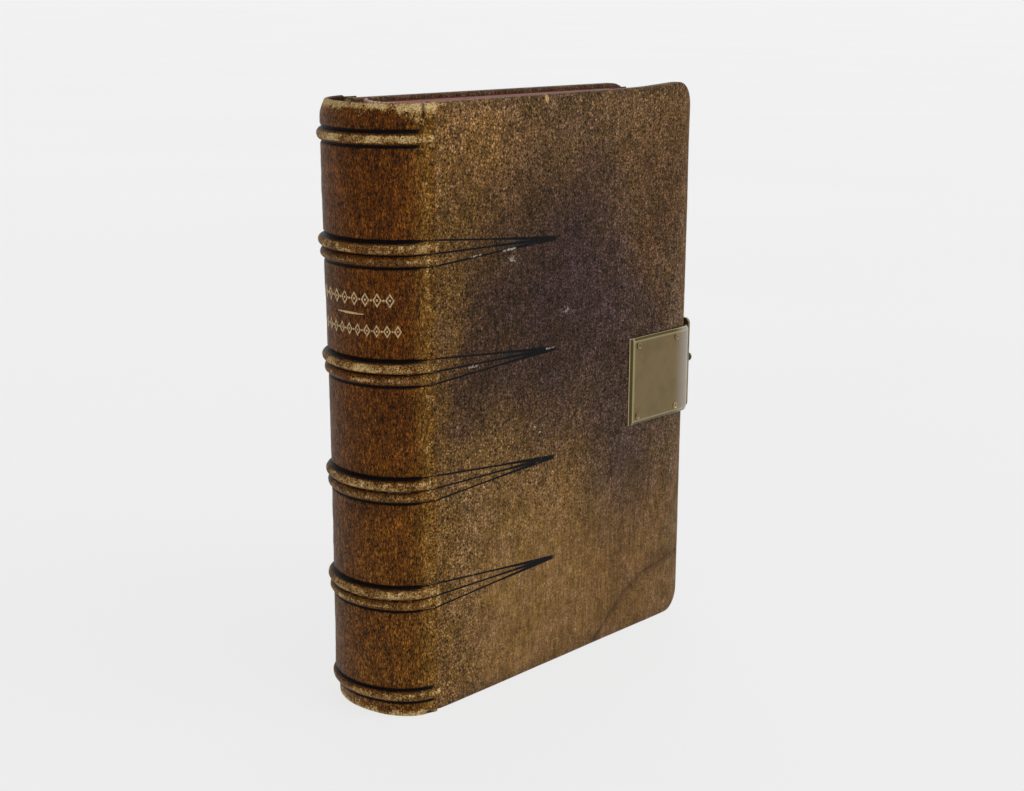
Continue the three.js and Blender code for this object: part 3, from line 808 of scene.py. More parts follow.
def spine_marks(arc, z):
    """Ink of the tooled lines across the spine, and painted shade in the split at the head and the torn
    place at the tail.
    """
    dz = band_offset(z)
    near = joint_distance(arc)
    thick = smooth(near, 2.5, 7.0)
    ink_and_shade = 0
    for line, wide in ((BAND_LINE + 0.05, 0.62), (-0.12, 0.30), (-BAND_LINE, 0.5)):
        half = 0.22 + (wide - 0.22) * thick
        ink_and_shade = np.maximum(ink_and_shade, falling(np.abs(dz - line), half * 0.7, half * 1.15))
    # painted shade in the split of the head cap and in the torn place at the tail
    split = bell(arc, 3.3, 0.32) * smooth(z, HEIGHT - 4.8, HEIGHT - 3.4)
    torn = bell(arc, 2.3, 1.6) * falling(z, 0.8, 1.8)
    ink_and_shade = strongest(ink_and_shade, split, torn)
    for (top, bottom), stop in ((HEAD_LINES, 3.6), (TAIL_LINES, 0.4)):
        ends = smooth(near, stop, stop + 1.4)
        ink_and_shade = strongest(ink_and_shade, ends * falling(np.abs(z - top), 0.4, 0.66),
                        ends * falling(np.abs(z - bottom), 0.34, 0.58))
    return ink_and_shade


def spine_wear(arc, z, points):
    near = joint_distance(arc)
    wear = 0.42 * smooth(z, HEIGHT - 7.5, HEIGHT - 2.5) + 0.5 * smooth(z, HEIGHT - 2.6, HEIGHT - 0.6)
    wear = wear + 0.46 * falling(z, 2.5, 6.5) + 0.4 * falling(z, 0.4, 2.2)
    wear = wear + 0.26 * bell(near, 3.0, 6.0) * smooth(z, HEIGHT - 9, HEIGHT - 4.5)
    relief = band_relief(z)
    fillet = smooth(relief, 0.45, 0.85) * ((z > HEAD_LINES[1]) | (z < TAIL_LINES[0]))
    wear = strongest(wear, 0.64 * smooth(relief, 0.5, 1.1), (0.74 - 0.10 * (z < 80)) * fillet,
                     0.50 * bell(near, 2.2, 2.4), 0.52 * bell(near, 0.9, 0.4))
    return (wear + 0.22 * fractal(points, 5, 3, seed=4) * smooth(wear, 0.1, 0.5)).clip(0, 1)


def fullness(arc, z):
    """The spine stands out a little more at its head, and handling has rounded both its ends in."""
    share = smooth(arc, 0.05 * SPINE_ARC, 0.5 * SPINE_ARC) * falling(arc, 0.85 * SPINE_ARC, SPINE_ARC)
    ends = 1.3 * falling(z, 0.0, 9.0) + 1.6 * smooth(z, HEIGHT - 4.5, HEIGHT + 0.5)
    return (1.3 * smooth(z, 55, HEIGHT) - ends) * share


def build_spine():
    """One sheet over the whole spine, turned over at the head and the tail."""
    path = spine_path()
    arcs = spaced(0.0, SPINE_ARC, 0.4)
    z = np.repeat(path[:, 0], len(arcs))
    inward = np.repeat(path[:, 1], len(arcs))
    share = np.repeat(path[:, 2], len(arcs))
    arc = np.tile(arcs, len(path))
    flat = spine_points(arc, 0.0, z)
    near = joint_distance(arc)
    offset = spine_relief(arc, z, flat) * share - inward + fullness(arc, z)
    offset = offset - under_joint(near) * share * smooth(np.minimum(z, HEIGHT - z), 0.6, 2.0)
    shape = (len(path), len(arcs))
    outer = spine_points(arc, offset, z).reshape(*shape, 3)
    # the ply's other face: a constant step along the sheet's own normal
    along_row = np.gradient(outer, axis=0)
    along_arc = np.gradient(outer, axis=1)
    normal = np.cross(along_arc, along_row)
    normal /= np.linalg.norm(normal, axis=2, keepdims=True)
    angle = spine_angle(arc)
    towards = np.stack([np.cos(angle) * JOINT_HALF, -np.sin(angle) * SPINE_BULGE], 1).reshape(*shape, 2)
    middle_row = shape[0] // 2
    if (normal[middle_row, :, :2] * towards[middle_row]).sum() < 0:
        normal = -normal
    inner = outer + SHEET * normal
    piece = closed_sheet("spine_leather_skin", outer, inner, flip=True)
    rest(piece)
    store(piece, "tone", both_faces(spine_tone(arc, z, flat)))
    store(piece, "wear", both_faces(spine_wear(arc, z, flat) * (0.35 + 0.65 * share)))
    # painted shade: the turn-ins inside the head and tail and the sheet's inner face are painted dark
    ink_and_shade = np.maximum(spine_marks(arc, z) * share, 0.7 * (1 - share))
    store(piece, "ink_and_shade", np.concatenate([ink_and_shade, INNER_FACE_PAINTED_SHADE + 0 * ink_and_shade]))
    store(piece, "smoothed", both_faces(0.0 * z))
    settle(piece, SPINE_LEATHER, "root", "spine_leather")


# ---- covers -----------------------------------------------------------------------------------

COVER_START = 0.6                 # cover's edge, from the hinge line
RIM = 2.6                         # the rings round the edges begin this far in
HEAD_EDGE = 0.9                   # rounding of the head and tail edges
INNER_EDGE = 0.8
RINGS = 14
CUSHION = 11.0                    # the outer face falls away over this width at the fore-edge
FLAT_RINGS, ROUND_RINGS, EDGE_RINGS = 2, 8, 10      # the last ring of each part of the edge
TURN_IN = 1.2


def corner_place(x, z):
    return round_corners(x, z, COVER_WIDTH - CORNER_RADIUS, CORNER_RADIUS, HEIGHT - CORNER_RADIUS)


def cover_relief(x, z, points):
    relief = fan_relief(x, z) + joint_relief(x)
    relief = relief - 0.15 * smooth(z, HEIGHT - 4, HEIGHT) - 0.15 * falling(z, 0, 4)
    relief = relief + 0.16 * fractal(points, 30, 2, seed=11) + 0.03 * fractal(points, 3.0, 3, seed=12)
    return relief


def cushion(x):
    """How far the outer face falls away towards the fore-edge."""
    return 0.95 * np.clip((x - COVER_WIDTH + CUSHION) / CUSHION, 0, 1) ** 2.3


# The old crack of the front cover, by distance from the joint and height.
CRACK = [(64, -1), (70, 4), (80, 12.5), (90, 17), (101, 19), (112, 20)]


def crack_distance(x, z):
    """Distance from the old crack that runs up from the tail edge towards the fore-edge."""
    best = np.full(len(x), 1e9)
    for (ax, az), (bx, bz) in zip(CRACK, CRACK[1:]):
        px, pz, dx, dz = x - ax, z - az, bx - ax, bz - az
        t = ((px * dx + pz * dz) / (dx * dx + dz * dz)).clip(0, 1)
        best = np.minimum(best, np.hypot(px - t * dx, pz - t * dz))
    return best


def cover_wear(x, z, points, side):
    edges = np.minimum(np.minimum(z, HEIGHT - z), COVER_WIDTH - x)
    chip = bell(x, 43.2, 0.9) * bell(z, 164.2, 1.6) * (side == FRONT)
    wear = strongest(0.54 * bell(x, 0.4, 2.4),
                     0.38 * falling(edges, 0.2, 3.0),
                     0.62 * falling(COVER_WIDTH - x, 0.0, 1.2),
                     0.95 * smooth(z, HEIGHT - 5, HEIGHT) * falling(x, 1, 8),
                     0.36 * smooth(z, HEIGHT - 10, HEIGHT) * falling(x, 20, 60),
                     1.2 * chip)
    return (wear + 0.25 * fractal(points, 5, 3, seed=14) * smooth(wear, 0.1, 0.5)).clip(0, 1.2)


# Scuffs: distance from the joint, height, half length, half width, slope, strength.
FRONT_SCUFFS = [
    (15.5, 124.4, 3.6, 0.45, 0.06, 0.75), (28.6, 124.6, 3.6, 0.45, 0.05, 0.85),
    (29.7, 122.0, 2.8, 2.4, 0.0, 0.61), (51.4, 104.8, 2.6, 3.2, 0.0, 0.60),
    (45.4, 94.9, 2.6, 0.5, 0.02, 0.75), (14.0, 94.6, 3.0, 0.8, 0.0, 0.66),
    (39.2, 73.2, 0.7, 0.5, 0.0, 0.8), (41.4, 71.2, 0.7, 0.6, 0.0, 0.8),
    (43.5, 68.5, 0.9, 0.5, 0.0, 0.75), (96.0, 40.0, 1.6, 1.2, 0.0, 0.5),
    (76.0, 14.0, 1.8, 1.4, 0.0, 0.5), (33.0, 30.0, 3.0, 2.0, 0.0, 0.42),
    (100.5, 4.0, 2.6, 0.8, 0.2, 0.55), (70.0, 100.0, 30.0, 34.0, 0.0, 0.26),
]
BACK_SCUFFS = [
    (34.0, 62.0, 6.0, 0.7, 0.4, 0.7), (70.0, 124.0, 2.0, 2.4, 0.0, 0.6),
    (86.0, 30.0, 5.0, 0.6, -0.3, 0.7), (52.0, 96.0, 30.0, 40.0, 0.0, 0.26),
]


def scuffed(x, z, side):
    """Strength of the white scuffs on a cover."""
    marks = 0 * x
    for cx, cz, length, width, slope, strength in FRONT_SCUFFS if side == FRONT else BACK_SCUFFS:
        across = z - cz - slope * (x - cx)
        marks = np.maximum(marks, strength * np.exp(-((x - cx) / length) ** 4 - (across / width) ** 2))
    return marks


def corner_lift(x, z):
    """The front cover's upper corner is bent up a little."""
    return 1.0 * smooth(x, 82, COVER_WIDTH) * smooth(z, HEIGHT - 30, HEIGHT)


def build_cover(name, side):
    """The leather of a cover: its outer face as a grid, with rings round its edges to the turn-in."""
    xs = spaced(COVER_START, COVER_WIDTH - RIM, 0.45)
    zs = tooled_rows(RIM, HEIGHT - RIM, 0.30, 0.62)
    grid_x, grid_z = np.meshgrid(xs, zs)
    x, z = corner_place(grid_x.ravel(), grid_z.ravel())[:2]
    columns, rows = len(xs), len(zs)

    # the loop round tail, fore-edge and head, and the outward direction at each of its points
    loop = np.array(border(rows, columns, closed=False))
    flat_x, flat_z = grid_x.ravel()[loop], grid_z.ravel()[loop]
    edge_x, edge_z, dx, dz = corner_place(flat_x, flat_z)
    fore = dx ** 2
    radius = HEAD_EDGE + (EDGE_RADIUS - HEAD_EDGE) * fore

    inner = COVER_THICKNESS - INNER_EDGE
    ring_x, ring_z, ring_depth = [], [], []
    for k in range(1, RINGS + 1):
        if k <= FLAT_RINGS:                         # flat, out to where the rounding starts
            inset, depth = RIM - (RIM - radius) * k / FLAT_RINGS, 0 * radius
        elif k <= ROUND_RINGS:                      # rounded outer edge
            a = (k - FLAT_RINGS) / (ROUND_RINGS - FLAT_RINGS) * math.pi / 2
            inset, depth = radius * (1 - math.sin(a)), radius * (1 - math.cos(a))
        elif k <= EDGE_RINGS:                       # edge
            share = (k - ROUND_RINGS) / (EDGE_RINGS - ROUND_RINGS)
            inset, depth = 0 * radius, radius + (inner - radius) * share
        else:                                       # rounded inner edge and the start of the turn-in
            a = min((k - EDGE_RINGS) / (RINGS - 1 - EDGE_RINGS), 1) * math.pi / 2
            inset = INNER_EDGE * (1 - math.cos(a)) + TURN_IN * (k == RINGS) + 0 * radius
            depth = inner + INNER_EDGE * math.sin(a) + 0 * radius
        ring_x.append(edge_x + dx * (RIM - inset))
        ring_z.append(edge_z + dz * (RIM - inset))
        ring_depth.append(depth)

    all_x = np.concatenate([x] + ring_x)
    all_z = np.concatenate([z] + ring_z)
    depth = np.concatenate([0 * x] + ring_depth)
    flat = np.stack([all_x, np.full_like(all_x, side * FLAT_Y), all_z], 1)
    relief = cover_relief(all_x, all_z, flat) * falling(depth, 0.0, 2.2)
    crack = crack_distance(all_x, all_z) if side == FRONT else np.full_like(all_x, 1e3)
    relief = relief - 0.10 * bell(crack, 0, 0.5) * falling(depth, 0, 1.0)
    lift = corner_lift(all_x, all_z) if side == FRONT else 0 * all_x
    depth_in = depth + cushion(all_x) * (1 - depth / COVER_THICKNESS).clip(0, 1)
    drop = 0.7 * smooth(all_z, 90, HEIGHT) if side == BACK else 0 * all_x
    sunk = under_joint(all_x) * falling(depth, 0.0, 1.5)
    points = cover_points(side, all_x, depth_in - relief + sunk, all_z + lift - drop)

    count, around = rows * columns, len(loop)
    outwards = side == FRONT
    faces = grid_faces(rows, columns, 0, not outwards)
    previous = loop
    for k in range(RINGS):
        current = count + k * around + np.arange(around)
        for i in range(around - 1):
            quad = (previous[i], current[i], current[i + 1], previous[i + 1])
            faces.append(tuple(int(v) for v in (quad if outwards else quad[::-1])))
        previous = current
    last = [int(v) for v in previous]
    faces.append(tuple(last[::-1] if outwards else last))
    # the joint side: both ends of every ring and the grid's first column
    tail_ends = [count + k * around for k in range(RINGS)][::-1]
    head_ends = [count + k * around + around - 1 for k in range(RINGS)]
    side_loop = tail_ends + [r * columns for r in range(rows)] + head_ends
    faces.append(tuple(side_loop if outwards else side_loop[::-1]))

    piece = mesh_object(f"{name}_leather_skin", place(points), faces)
    for polygon in (piece.data.polygons[-1], piece.data.polygons[-2]):
        polygon.use_smooth = False
    rest(piece)
    tone = cover_tone(all_x, all_z, flat)
    edge = np.minimum(np.minimum(all_z, HEIGHT - all_z), COVER_WIDTH - all_x)
    tone = tinted(tone, 0.5 * falling(edge, 0.0, 4.5), srgb(92, 68, 44))
    ragged = 0.6 + 0.5 * fractal(flat, 3.0, 3, seed=15)
    # darker along the crack: the crack's own darker colour and painted shade in its crease
    crack_colour_and_shade = (0.7 * bell(crack, 0, 0.6) * ragged + 0.3 * bell(crack, 0, 2.4)).clip(0, 1)
    tone = tinted(tone, crack_colour_and_shade, srgb(66, 42, 26))
    store(piece, "tone", tinted(tone, smooth(depth, 2.6, 3.4), srgb(96, 66, 42)))
    store(piece, "wear", cover_wear(all_x, all_z, flat, side) * (1 - 0.8 * smooth(depth, 1.5, 3.0)))
    store(piece, "ink_and_shade", 0 * all_x)
    store(piece, "scuff", scuffed(all_x, all_z, side) * falling(depth, 0, 1))
    smoother = 0.75 * falling(all_z, 20, 75) * smooth(all_x, 4, 30)
    smoother = smoother + 0.5 * smooth(all_x, COVER_WIDTH - 9, COVER_WIDTH)
    store(piece, "smoothed", smoother.clip(0, 1))
    store(piece, "tool", np.stack([all_x, band_offset(all_z), depth], 1))
    settle(piece, COVER_LEATHER, f"{name}_cover", f"{name}_leather")


STRIP_ON_SPINE = 3.2              # how far a joint's strip reaches to each side
STRIP_ON_COVER = 4.2
STRIP_THICKNESS = 0.5
STRIP_ABOVE = 0.035
STRIP_SINK = 0.16
STRIP_END = 0.35                  # strip's ends, in from the head and the tail


def build_joint(name, side):
    """Leather across a joint. It lies a hair above its neighbours and sinks into them at its edges."""
    s = np.concatenate([spaced(-STRIP_ON_SPINE, -1.5, 0.4), spaced(-1.2, 1.2, 0.2),
                        spaced(1.5, STRIP_ON_COVER, 0.4)])
    z = tooled_rows(STRIP_END, HEIGHT - STRIP_END, 0.25, 0.62)
    grid_s, grid_z = np.meshgrid(s, z)
    gs, gz = grid_s.ravel(), grid_z.ravel()
    arc = np.where(gs < 0, -gs, 0.0)
    spine_flat = spine_points(arc, 0.0, gz)
    cover_flat = np.stack([gs, np.full_like(gs, side * FLAT_Y), gz], 1)
    end_edge = np.minimum(gz, HEIGHT - gz)
    lap = STRIP_ABOVE - STRIP_SINK * falling(gs, -STRIP_ON_SPINE, -STRIP_ON_SPINE + 0.9)
    lap = lap - STRIP_SINK * smooth(gs, STRIP_ON_COVER - 0.9, STRIP_ON_COVER)
    lap = lap - 0.5 * falling(end_edge, 0.3, 1.1) ** 2

    def face(below):
        full = fullness(arc if side == FRONT else SPINE_ARC - arc, gz)
        spine_side = spine_points(arc, spine_relief(arc, gz, spine_flat) + full + lap - below, gz)
        spine_side *= (1, -side, 1)
        on_cover = cover_relief(np.maximum(gs, 0), gz, cover_flat) + lap - below
        cover_side = cover_points(side, gs, -on_cover, gz)
        weight = smooth(gs, -0.8, 0.8)[:, None]
        return (spine_side * (1 - weight) + cover_side * weight).reshape(*grid_s.shape, 3)

    piece = closed_sheet(f"{name}_joint_leather", face(0.0), face(STRIP_THICKNESS), flip=side == BACK)
    rest(piece)
    weight = smooth(gs + 1.6 * fractal(cover_flat, 2.6, 3, seed=17), -1.6, 2.4)
    tone = spine_tone(arc, gz, spine_flat) * (1 - weight[:, None])
    tone += cover_tone(np.maximum(gs, 0), gz, cover_flat) * weight[:, None]
    wear = spine_wear(arc, gz, spine_flat) * (1 - weight)
    wear += cover_wear(np.maximum(gs, 0), gz, cover_flat, side) * weight
    store(piece, "tone", both_faces(tone))
    store(piece, "wear", both_faces(wear))
    ink_and_shade = spine_marks(arc, gz) * falling(gs, -0.5, 0.2)
    # painted shade: the strip's inner face is painted dark
    store(piece, "ink_and_shade", np.concatenate([ink_and_shade, INNER_FACE_PAINTED_SHADE + 0 * gs]))
    store(piece, "smoothed", both_faces(0 * gs))
    store(piece, "tool", both_faces(np.stack([gs, band_offset(gz), 0 * gs], 1)))
    piece.data.materials.append(COVER_LEATHER)
    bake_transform(piece)


# ---- gilt tooling -----------------------------------------------------------------------------

# Rows of outlined diamonds: their number, pitch, height, half width, half height and stroke.
GILT_ROWS = [(9, 3.3, 115.1, 1.2, 1.9, 0.42), (12, 2.75, 107.0, 1.0, 1.7, 0.38)]
DOT = 0.28                        # a dot's radius against a diamond's half width
RULE_Z = 111.2
RULE_PARTS = 9
RULE_SHIFT = -1.6


def gilt_dot(half_width):
    return [(DOT * half_width * math.cos(a), DOT * half_width * math.sin(a))
            for a in np.linspace(0, 2 * math.pi, 9)[:-1]]


def lozenge(half_width, half_height, stroke):
    """An outlined diamond with a dot in it: closed outlines round the origin."""
    def diamond(k):
        return [(k * half_width, 0), (0, k * half_height), (-k * half_width, 0), (0, -k * half_height)]
    outer, inner = diamond(1), diamond(1 - stroke / half_width)
    ring = [[outer[i], outer[i - 3], inner[i - 3], inner[i]] for i in range(4)]
    return ring + [gilt_dot(half_width)]


def build_gilt():
    """Two rows of small diamonds with a short rule between them, pressed into the second panel."""
    outlines = []

    def stamp(shapes, along, z):
        for shape in shapes:
            outlines.append([(along + a, z + b) for a, b in shape])

    for number, pitch, z, half_width, half_height, stroke in GILT_ROWS:
        for i in range(number):
            stamp(lozenge(half_width, half_height, stroke), (i - (number - 1) / 2) * pitch, z)
        for i in range(number - 1):
            stamp([gilt_dot(half_width)], (i - (number - 2) / 2) * pitch, z)
    for i in range(RULE_PARTS):
        half = 0.12 + 0.16 * math.sin(math.pi * (i + 0.5) / RULE_PARTS)
        stamp([[(-0.5, -half), (0.5, -half), (0.5, half), (-0.5, half)]],
              i - (RULE_PARTS - 1) / 2 + RULE_SHIFT, RULE_Z)
    points, faces = [], []
    for outline in outlines:
        top = len(points)
        for lift in (0.05, -0.12):
            for along, z in outline:
                points.append((SPINE_ARC / 2 + along, z, lift))
        n = len(outline)
        faces.append(tuple(top + i for i in range(n)))
        faces.append(tuple(top + n + i for i in reversed(range(n))))
        for i in range(n):
            j = (i + 1) % n
            faces.append((top + j, top + i, top + n + i, top + n + j))
    points = np.array(points)
    arc, z = points[:, 0], points[:, 1]
    offset = spine_relief(arc, z, spine_points(arc, 0.0, z)) + fullness(arc, z) + points[:, 2]
    piece = mesh_object("spine_gilt_tooling", place(spine_points(arc, offset, z)), faces, False)
    rest(piece)
    settle(piece, GILT, "root", None)


# ---- text block -------------------------------------------------------------------------------

def fold_x(y):
    return LEAF_START - LEAF_ROUND * (1 - (y / LEAF_HALF) ** 2)


def leaf_place(w, y, z):
    """Page coordinates to the book: w from the fold, y measured at the joints."""
    x = fold_x(y) + w
    return np.stack([x, y * (1 - x * math.tan(TAPER) / LEAF_HALF), z], -1)


def page_corner(w, z):
    low = SQUARE + PAGE_CORNER
    return round_corners(w, z, PAGE_WIDTH - PAGE_CORNER, low, HEIGHT - low)[:2]


def page_heights(step):
    """Heights of the rows of a page, closer together at its round corners."""
    corner = PAGE_CORNER * np.linspace(0, 0.75, 4)
    page = HEIGHT - 2 * SQUARE
    return SQUARE + np.concatenate([corner, spaced(PAGE_CORNER, page - PAGE_CORNER, step),
                                    page - corner[::-1]])


def side_faces(a, b):
    n = len(a)
    return [(int(a[(i + 1) % n]), int(a[i]), int(b[i]), int(b[(i + 1) % n])) for i in range(n)]


def build_leaves(name, low, high, body, node, rng):
    """A stack of leaves as one body whose edges step in and out from leaf to leaf."""
    fore = PAGE_WIDTH - PAGE_CORNER
    ws = np.concatenate([spaced(0, 14, 1.0), spaced(17, fore, 6.0),
                         fore + PAGE_CORNER * np.linspace(0.25, 1, 4)])
    grid_w, grid_z = np.meshgrid(ws, page_heights(10.0))
    w, z = page_corner(grid_w.ravel(), grid_z.ravel())
    rows, columns = grid_w.shape
    count = rows * columns
    loop = np.array(border(rows, columns))
    middle_z = HEIGHT / 2
    points = [leaf_place(w, np.full(count, y), z) for y in (low, high)]
    leaf = [np.full(count, y) for y in (low, high)]
    faces = grid_faces(rows, columns, 0) + grid_faces(rows, columns, count, True)
    previous = loop
    total = 2 * count
    for y in np.linspace(low, high, LEAVES_IN_SECTION + 1)[1:-1]:
        inset = rng.uniform(-0.02, 0.10)
        lw = np.where(w[loop] > fore, w[loop] - inset, w[loop])
        from_middle = z[loop] - middle_z
        at_end = np.abs(from_middle) > middle_z - SQUARE - PAGE_CORNER
        lz = z[loop] - inset * np.sign(from_middle) * at_end
        points.append(leaf_place(lw, np.full(len(loop), y), lz))
        leaf.append(np.full(len(loop), y))
        current = total + np.arange(len(loop))
        total += len(loop)
        faces += side_faces(previous, current)
        previous = current
    faces += side_faces(previous, loop + count)
    piece = mesh_object(name, place(np.concatenate(points)), faces, False)
    rest(piece)
    store(piece, "leaf", np.concatenate(leaf))
    piece.data.materials.append(PAGE_PAPER)
    piece.data.materials.append(LEAF_EDGE)
    index = np.ones(len(piece.data.polygons), int)
    index[:2 * (rows - 1) * (columns - 1)] = 0
    piece.data.polygons.foreach_set("material_index", index)
    if body == "root":
        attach(piece, "root")
    else:
        bend_with_cover(piece)
    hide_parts(node)


def build_text_block():
    rng = np.random.default_rng(7)
    pitch = 2 * LEAF_HALF / SECTIONS
    for number in range(1, SECTIONS + 1):
        low = -LEAF_HALF + (number - 1) * pitch
        body = "root"
        if number <= LOOSE_SECTIONS:
            body = f"front_leaves_{number}"
        if number > SECTIONS - LOOSE_SECTIONS:
            body = f"back_leaves_{SECTIONS + 1 - number}"
        build_leaves(f"leaves_{number:02d}", low + SECTION_GAP, low + pitch - SECTION_GAP, body,
                     f"section_{number:02d}", rng)


def build_flyleaf(name, side):
    """The free endleaf between a cover and the text block."""
    middle = LEAF_HALF + 0.25
    ws = np.concatenate([spaced(0, 14, 0.7), spaced(15, PAGE_WIDTH, 3.0)])
    grid_w, grid_z = np.meshgrid(ws, page_heights(5.0))
    w, z = page_corner(grid_w.ravel(), grid_z.ravel())
    x = LEAF_START + w

    def face(shift):
        y = side * (middle - x * math.tan(TAPER) + shift)
        return np.stack([x, y, z], 1).reshape(*grid_w.shape, 3)

    piece = closed_sheet(f"{name}_flyleaf_paper", face(0.07), face(-0.07), flip=side == BACK)
    rest(piece)
    piece.data.materials.append(FLYLEAF_PAPER)
    bend_with_cover(piece)
    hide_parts(f"{name}_flyleaf")


def build_pastedown(name, side):
    """Paper on the inner face of a cover, from its edges in, with a slight ripple."""
    inset, start = 1.9, 1.6
    xs = spaced(start, COVER_WIDTH - inset, 2.5)
    zs = spaced(inset, HEIGHT - inset, 3.0)
    gx, gz = np.meshgrid(xs, zs)
    ripple = 0.03 * fractal(np.stack([gx.ravel(), 0 * gx.ravel(), gz.ravel()], 1), 14, 2, seed=21)
    ripple = ripple.reshape(gx.shape)
    outer = cover_points(side, gx, COVER_THICKNESS + 0.10 + 0.3 * np.abs(ripple), gz)
    inner = cover_points(side, gx, COVER_THICKNESS - 0.12, gz)
    piece = closed_sheet(f"{name}_pastedown_paper", outer, inner, flip=side == FRONT)
    rest(piece)
    settle(piece, MAROON_PAPER, f"{name}_cover", f"{name}_pastedown")


def build_endband(node, z):
    """Silk wound over a core, sewn along the folds of the sections at head or tail."""
    y = np.linspace(-LEAF_HALF + 0.6, LEAF_HALF - 0.6, 90)
    x = fold_x(y) + 0.2
    length = path_length(x, y)
    slope_x, slope_y = np.gradient(x), np.gradient(y)
    around = 14
    points, faces, turn = [], [], []
    for i in range(len(y)):
        tangent = np.array([slope_x[i], slope_y[i], 0])
        tangent /= np.linalg.norm(tangent)
        across = np.array([tangent[1], -tangent[0], 0])
        radius = 0.62 + 0.05 * math.sin(length[i] * 2 * math.pi / 0.42)
        for k in range(around):
            a = 2 * math.pi * k / around
            centre = np.array([x[i], y[i], z])
            points.append(centre + radius * (math.cos(a) * across + math.sin(a) * np.array([0, 0, 1])))
            turn.append(length[i] / 1.7)
    for i in range(len(y) - 1):
        for k in range(around):
            j = (k + 1) % around
            faces.append((i * around + k, i * around + j, (i + 1) * around + j, (i + 1) * around + k))
    faces.append(tuple(range(around))[::-1])
    last = (len(y) - 1) * around
    faces.append(tuple(last + k for k in range(around)))
    piece = mesh_object(node + "_silk", place(np.array(points)), faces)
    rest(piece)
    store(piece, "turn", turn)
    settle(piece, SILK, "root", node)


# ---- brass ------------------------------------------------------------------------------------

def plate_line(u, lift):
    """Point of the front plate's section: u along the sheet from its plain end, lift above leather."""
    flat = PLATE_LENGTH - EDGE_RADIUS
    centre = COVER_WIDTH - EDGE_RADIUS
    radius = EDGE_RADIUS + PLATE_GAP
    quarter = radius * math.pi / 2
    x, depth = np.zeros_like(u), np.zeros_like(u)
    on_face = u <= flat
    in_bend = (u > flat) & (u <= flat + quarter)
    on_edge = u > flat + quarter
    x[on_face] = COVER_WIDTH - PLATE_LENGTH + u[on_face]
    depth[on_face] = -PLATE_GAP - lift[on_face]
    a = (u[in_bend] - flat) / radius
    x[in_bend] = centre + (radius + lift[in_bend]) * np.sin(a)
    depth[in_bend] = EDGE_RADIUS - (radius + lift[in_bend]) * np.cos(a)
    x[on_edge] = centre + radius + lift[on_edge]
    depth[on_edge] = EDGE_RADIUS + u[on_edge] - flat - quarter
    return x, depth


def build_front_plate():
    """The catch plate, bent round the fore-edge, with a bevel at its free edges."""
    flat = PLATE_LENGTH - EDGE_RADIUS
    quarter = (EDGE_RADIUS + PLATE_GAP) * math.pi / 2
    length = flat + quarter + PLATE_RETURN - EDGE_RADIUS
    us = np.concatenate([[0, 0.06, 0.12], [0.4, 0.75, 1.0, 1.1, 1.2], spaced(2.2, flat, 1.2),
                         np.linspace(flat, flat + quarter, 12)[1:], [length - 0.3, length - 0.1, length]])
    half = PLATE_HEIGHT / 2
    across = np.array([0, 0.06, 0.12, 0.35, 0.6, 0.85, 0.93, 1.05, 1.5])
    vs = np.concatenate([across, spaced(2.2, PLATE_HEIGHT - 2.2, 1.2), (PLATE_HEIGHT - across)[::-1]])
    grid_u, grid_v = np.meshgrid(us, vs)
    u, v = grid_u.ravel(), grid_v.ravel()
    edge_v = np.minimum(v, PLATE_HEIGHT - v)
    chamfer = np.minimum(np.interp(u, [0, 0.06, 0.12, 1.1], [-0.12, -0.05, 0.0, 0.55]),
                         np.interp(edge_v, [0, 0.06, 0.12, 0.93], [0.0, 0.1, 0.16, 0.55]))
    lift = BRASS - 0.30 + chamfer - 0.18 * smooth(u, length - 0.35, length)
    lift = lift + 0.04 * np.sin(u / 9.0) * np.sin(v / 7.0)
    lift = lift + 0.40 * smooth(u, flat - 9, flat + 1)
    lift = lift - 0.50 * smooth(u, flat + 0.6 * quarter, flat + quarter)

    def face(lift):
        x, depth = plate_line(u, lift)
        sunk = 0.5 * cushion(x.clip(0, COVER_WIDTH)) * (1 - depth / COVER_THICKNESS).clip(0, 1)
        return cover_points(FRONT, x, depth + sunk, CLASP_Z - half + v).reshape(*grid_u.shape, 3)

    piece = closed_sheet("front_catch_plate", face(lift), face(0 * u))
    face_edge = np.minimum(edge_v, u)
    # painted reflection: the bevel round the free edges is painted dark, for the darker room it faces
    store(piece, "bevel_dark_reflection", outer_face(0.85 * (face_edge > 0.12) * ((u < 1.05) | (edge_v < 0.9))))
    # painted highlights: thin bright lines along the plate's outer edge and the bevel's inner arris
    arris = 0.55 * np.maximum(bell(u, 1.16, 0.12), bell(edge_v, 0.98, 0.10) * (u > 1.1))
    store(piece, "arris_highlight", outer_face((0.8 * np.maximum(arris, 1.0 * (face_edge < 0.1))).clip(0, 1)))
    # painted reflection: paler and greyer where the plate bends round the fore-edge
    store(piece, "bend_sheen", outer_face(0.85 * smooth(u, flat - 6, flat + 2)))
    settle(piece, PLATE_BRASS, "front_cover", "front_clasp_plate")


def revolve(name, profile, centre, axis, steps=28):
    """A closed turned body: profile points are (radius, distance along axis), ends on the axis."""
    axis = Vector(axis).normalized()
    side = axis.orthogonal().normalized()
    other = axis.cross(side)
    points, faces, rings = [], [], []
    for radius, along in profile:
        if radius < 1e-6:
            rings.append([len(points)])
            points.append(np.array(centre) + np.array(axis) * along)
            continue
        rings.append([len(points) + k for k in range(steps)])
        for k in range(steps):
            a = 2 * math.pi * k / steps
            arm = np.array(side) * math.cos(a) + np.array(other) * math.sin(a)
            points.append(np.array(centre) + np.array(axis) * along + arm * radius)
    for a, b in zip(rings, rings[1:]):
        for k in range(steps):
            j = (k + 1) % steps
            if len(a) == 1:
                faces.append((a[0], b[k], b[j]))
            elif len(b) == 1:
                faces.append((a[k], b[0], a[j]))
            else:
                faces.append((a[k], b[k], b[j], a[j]))
    return mesh_object(name, place(np.array(points)), faces)


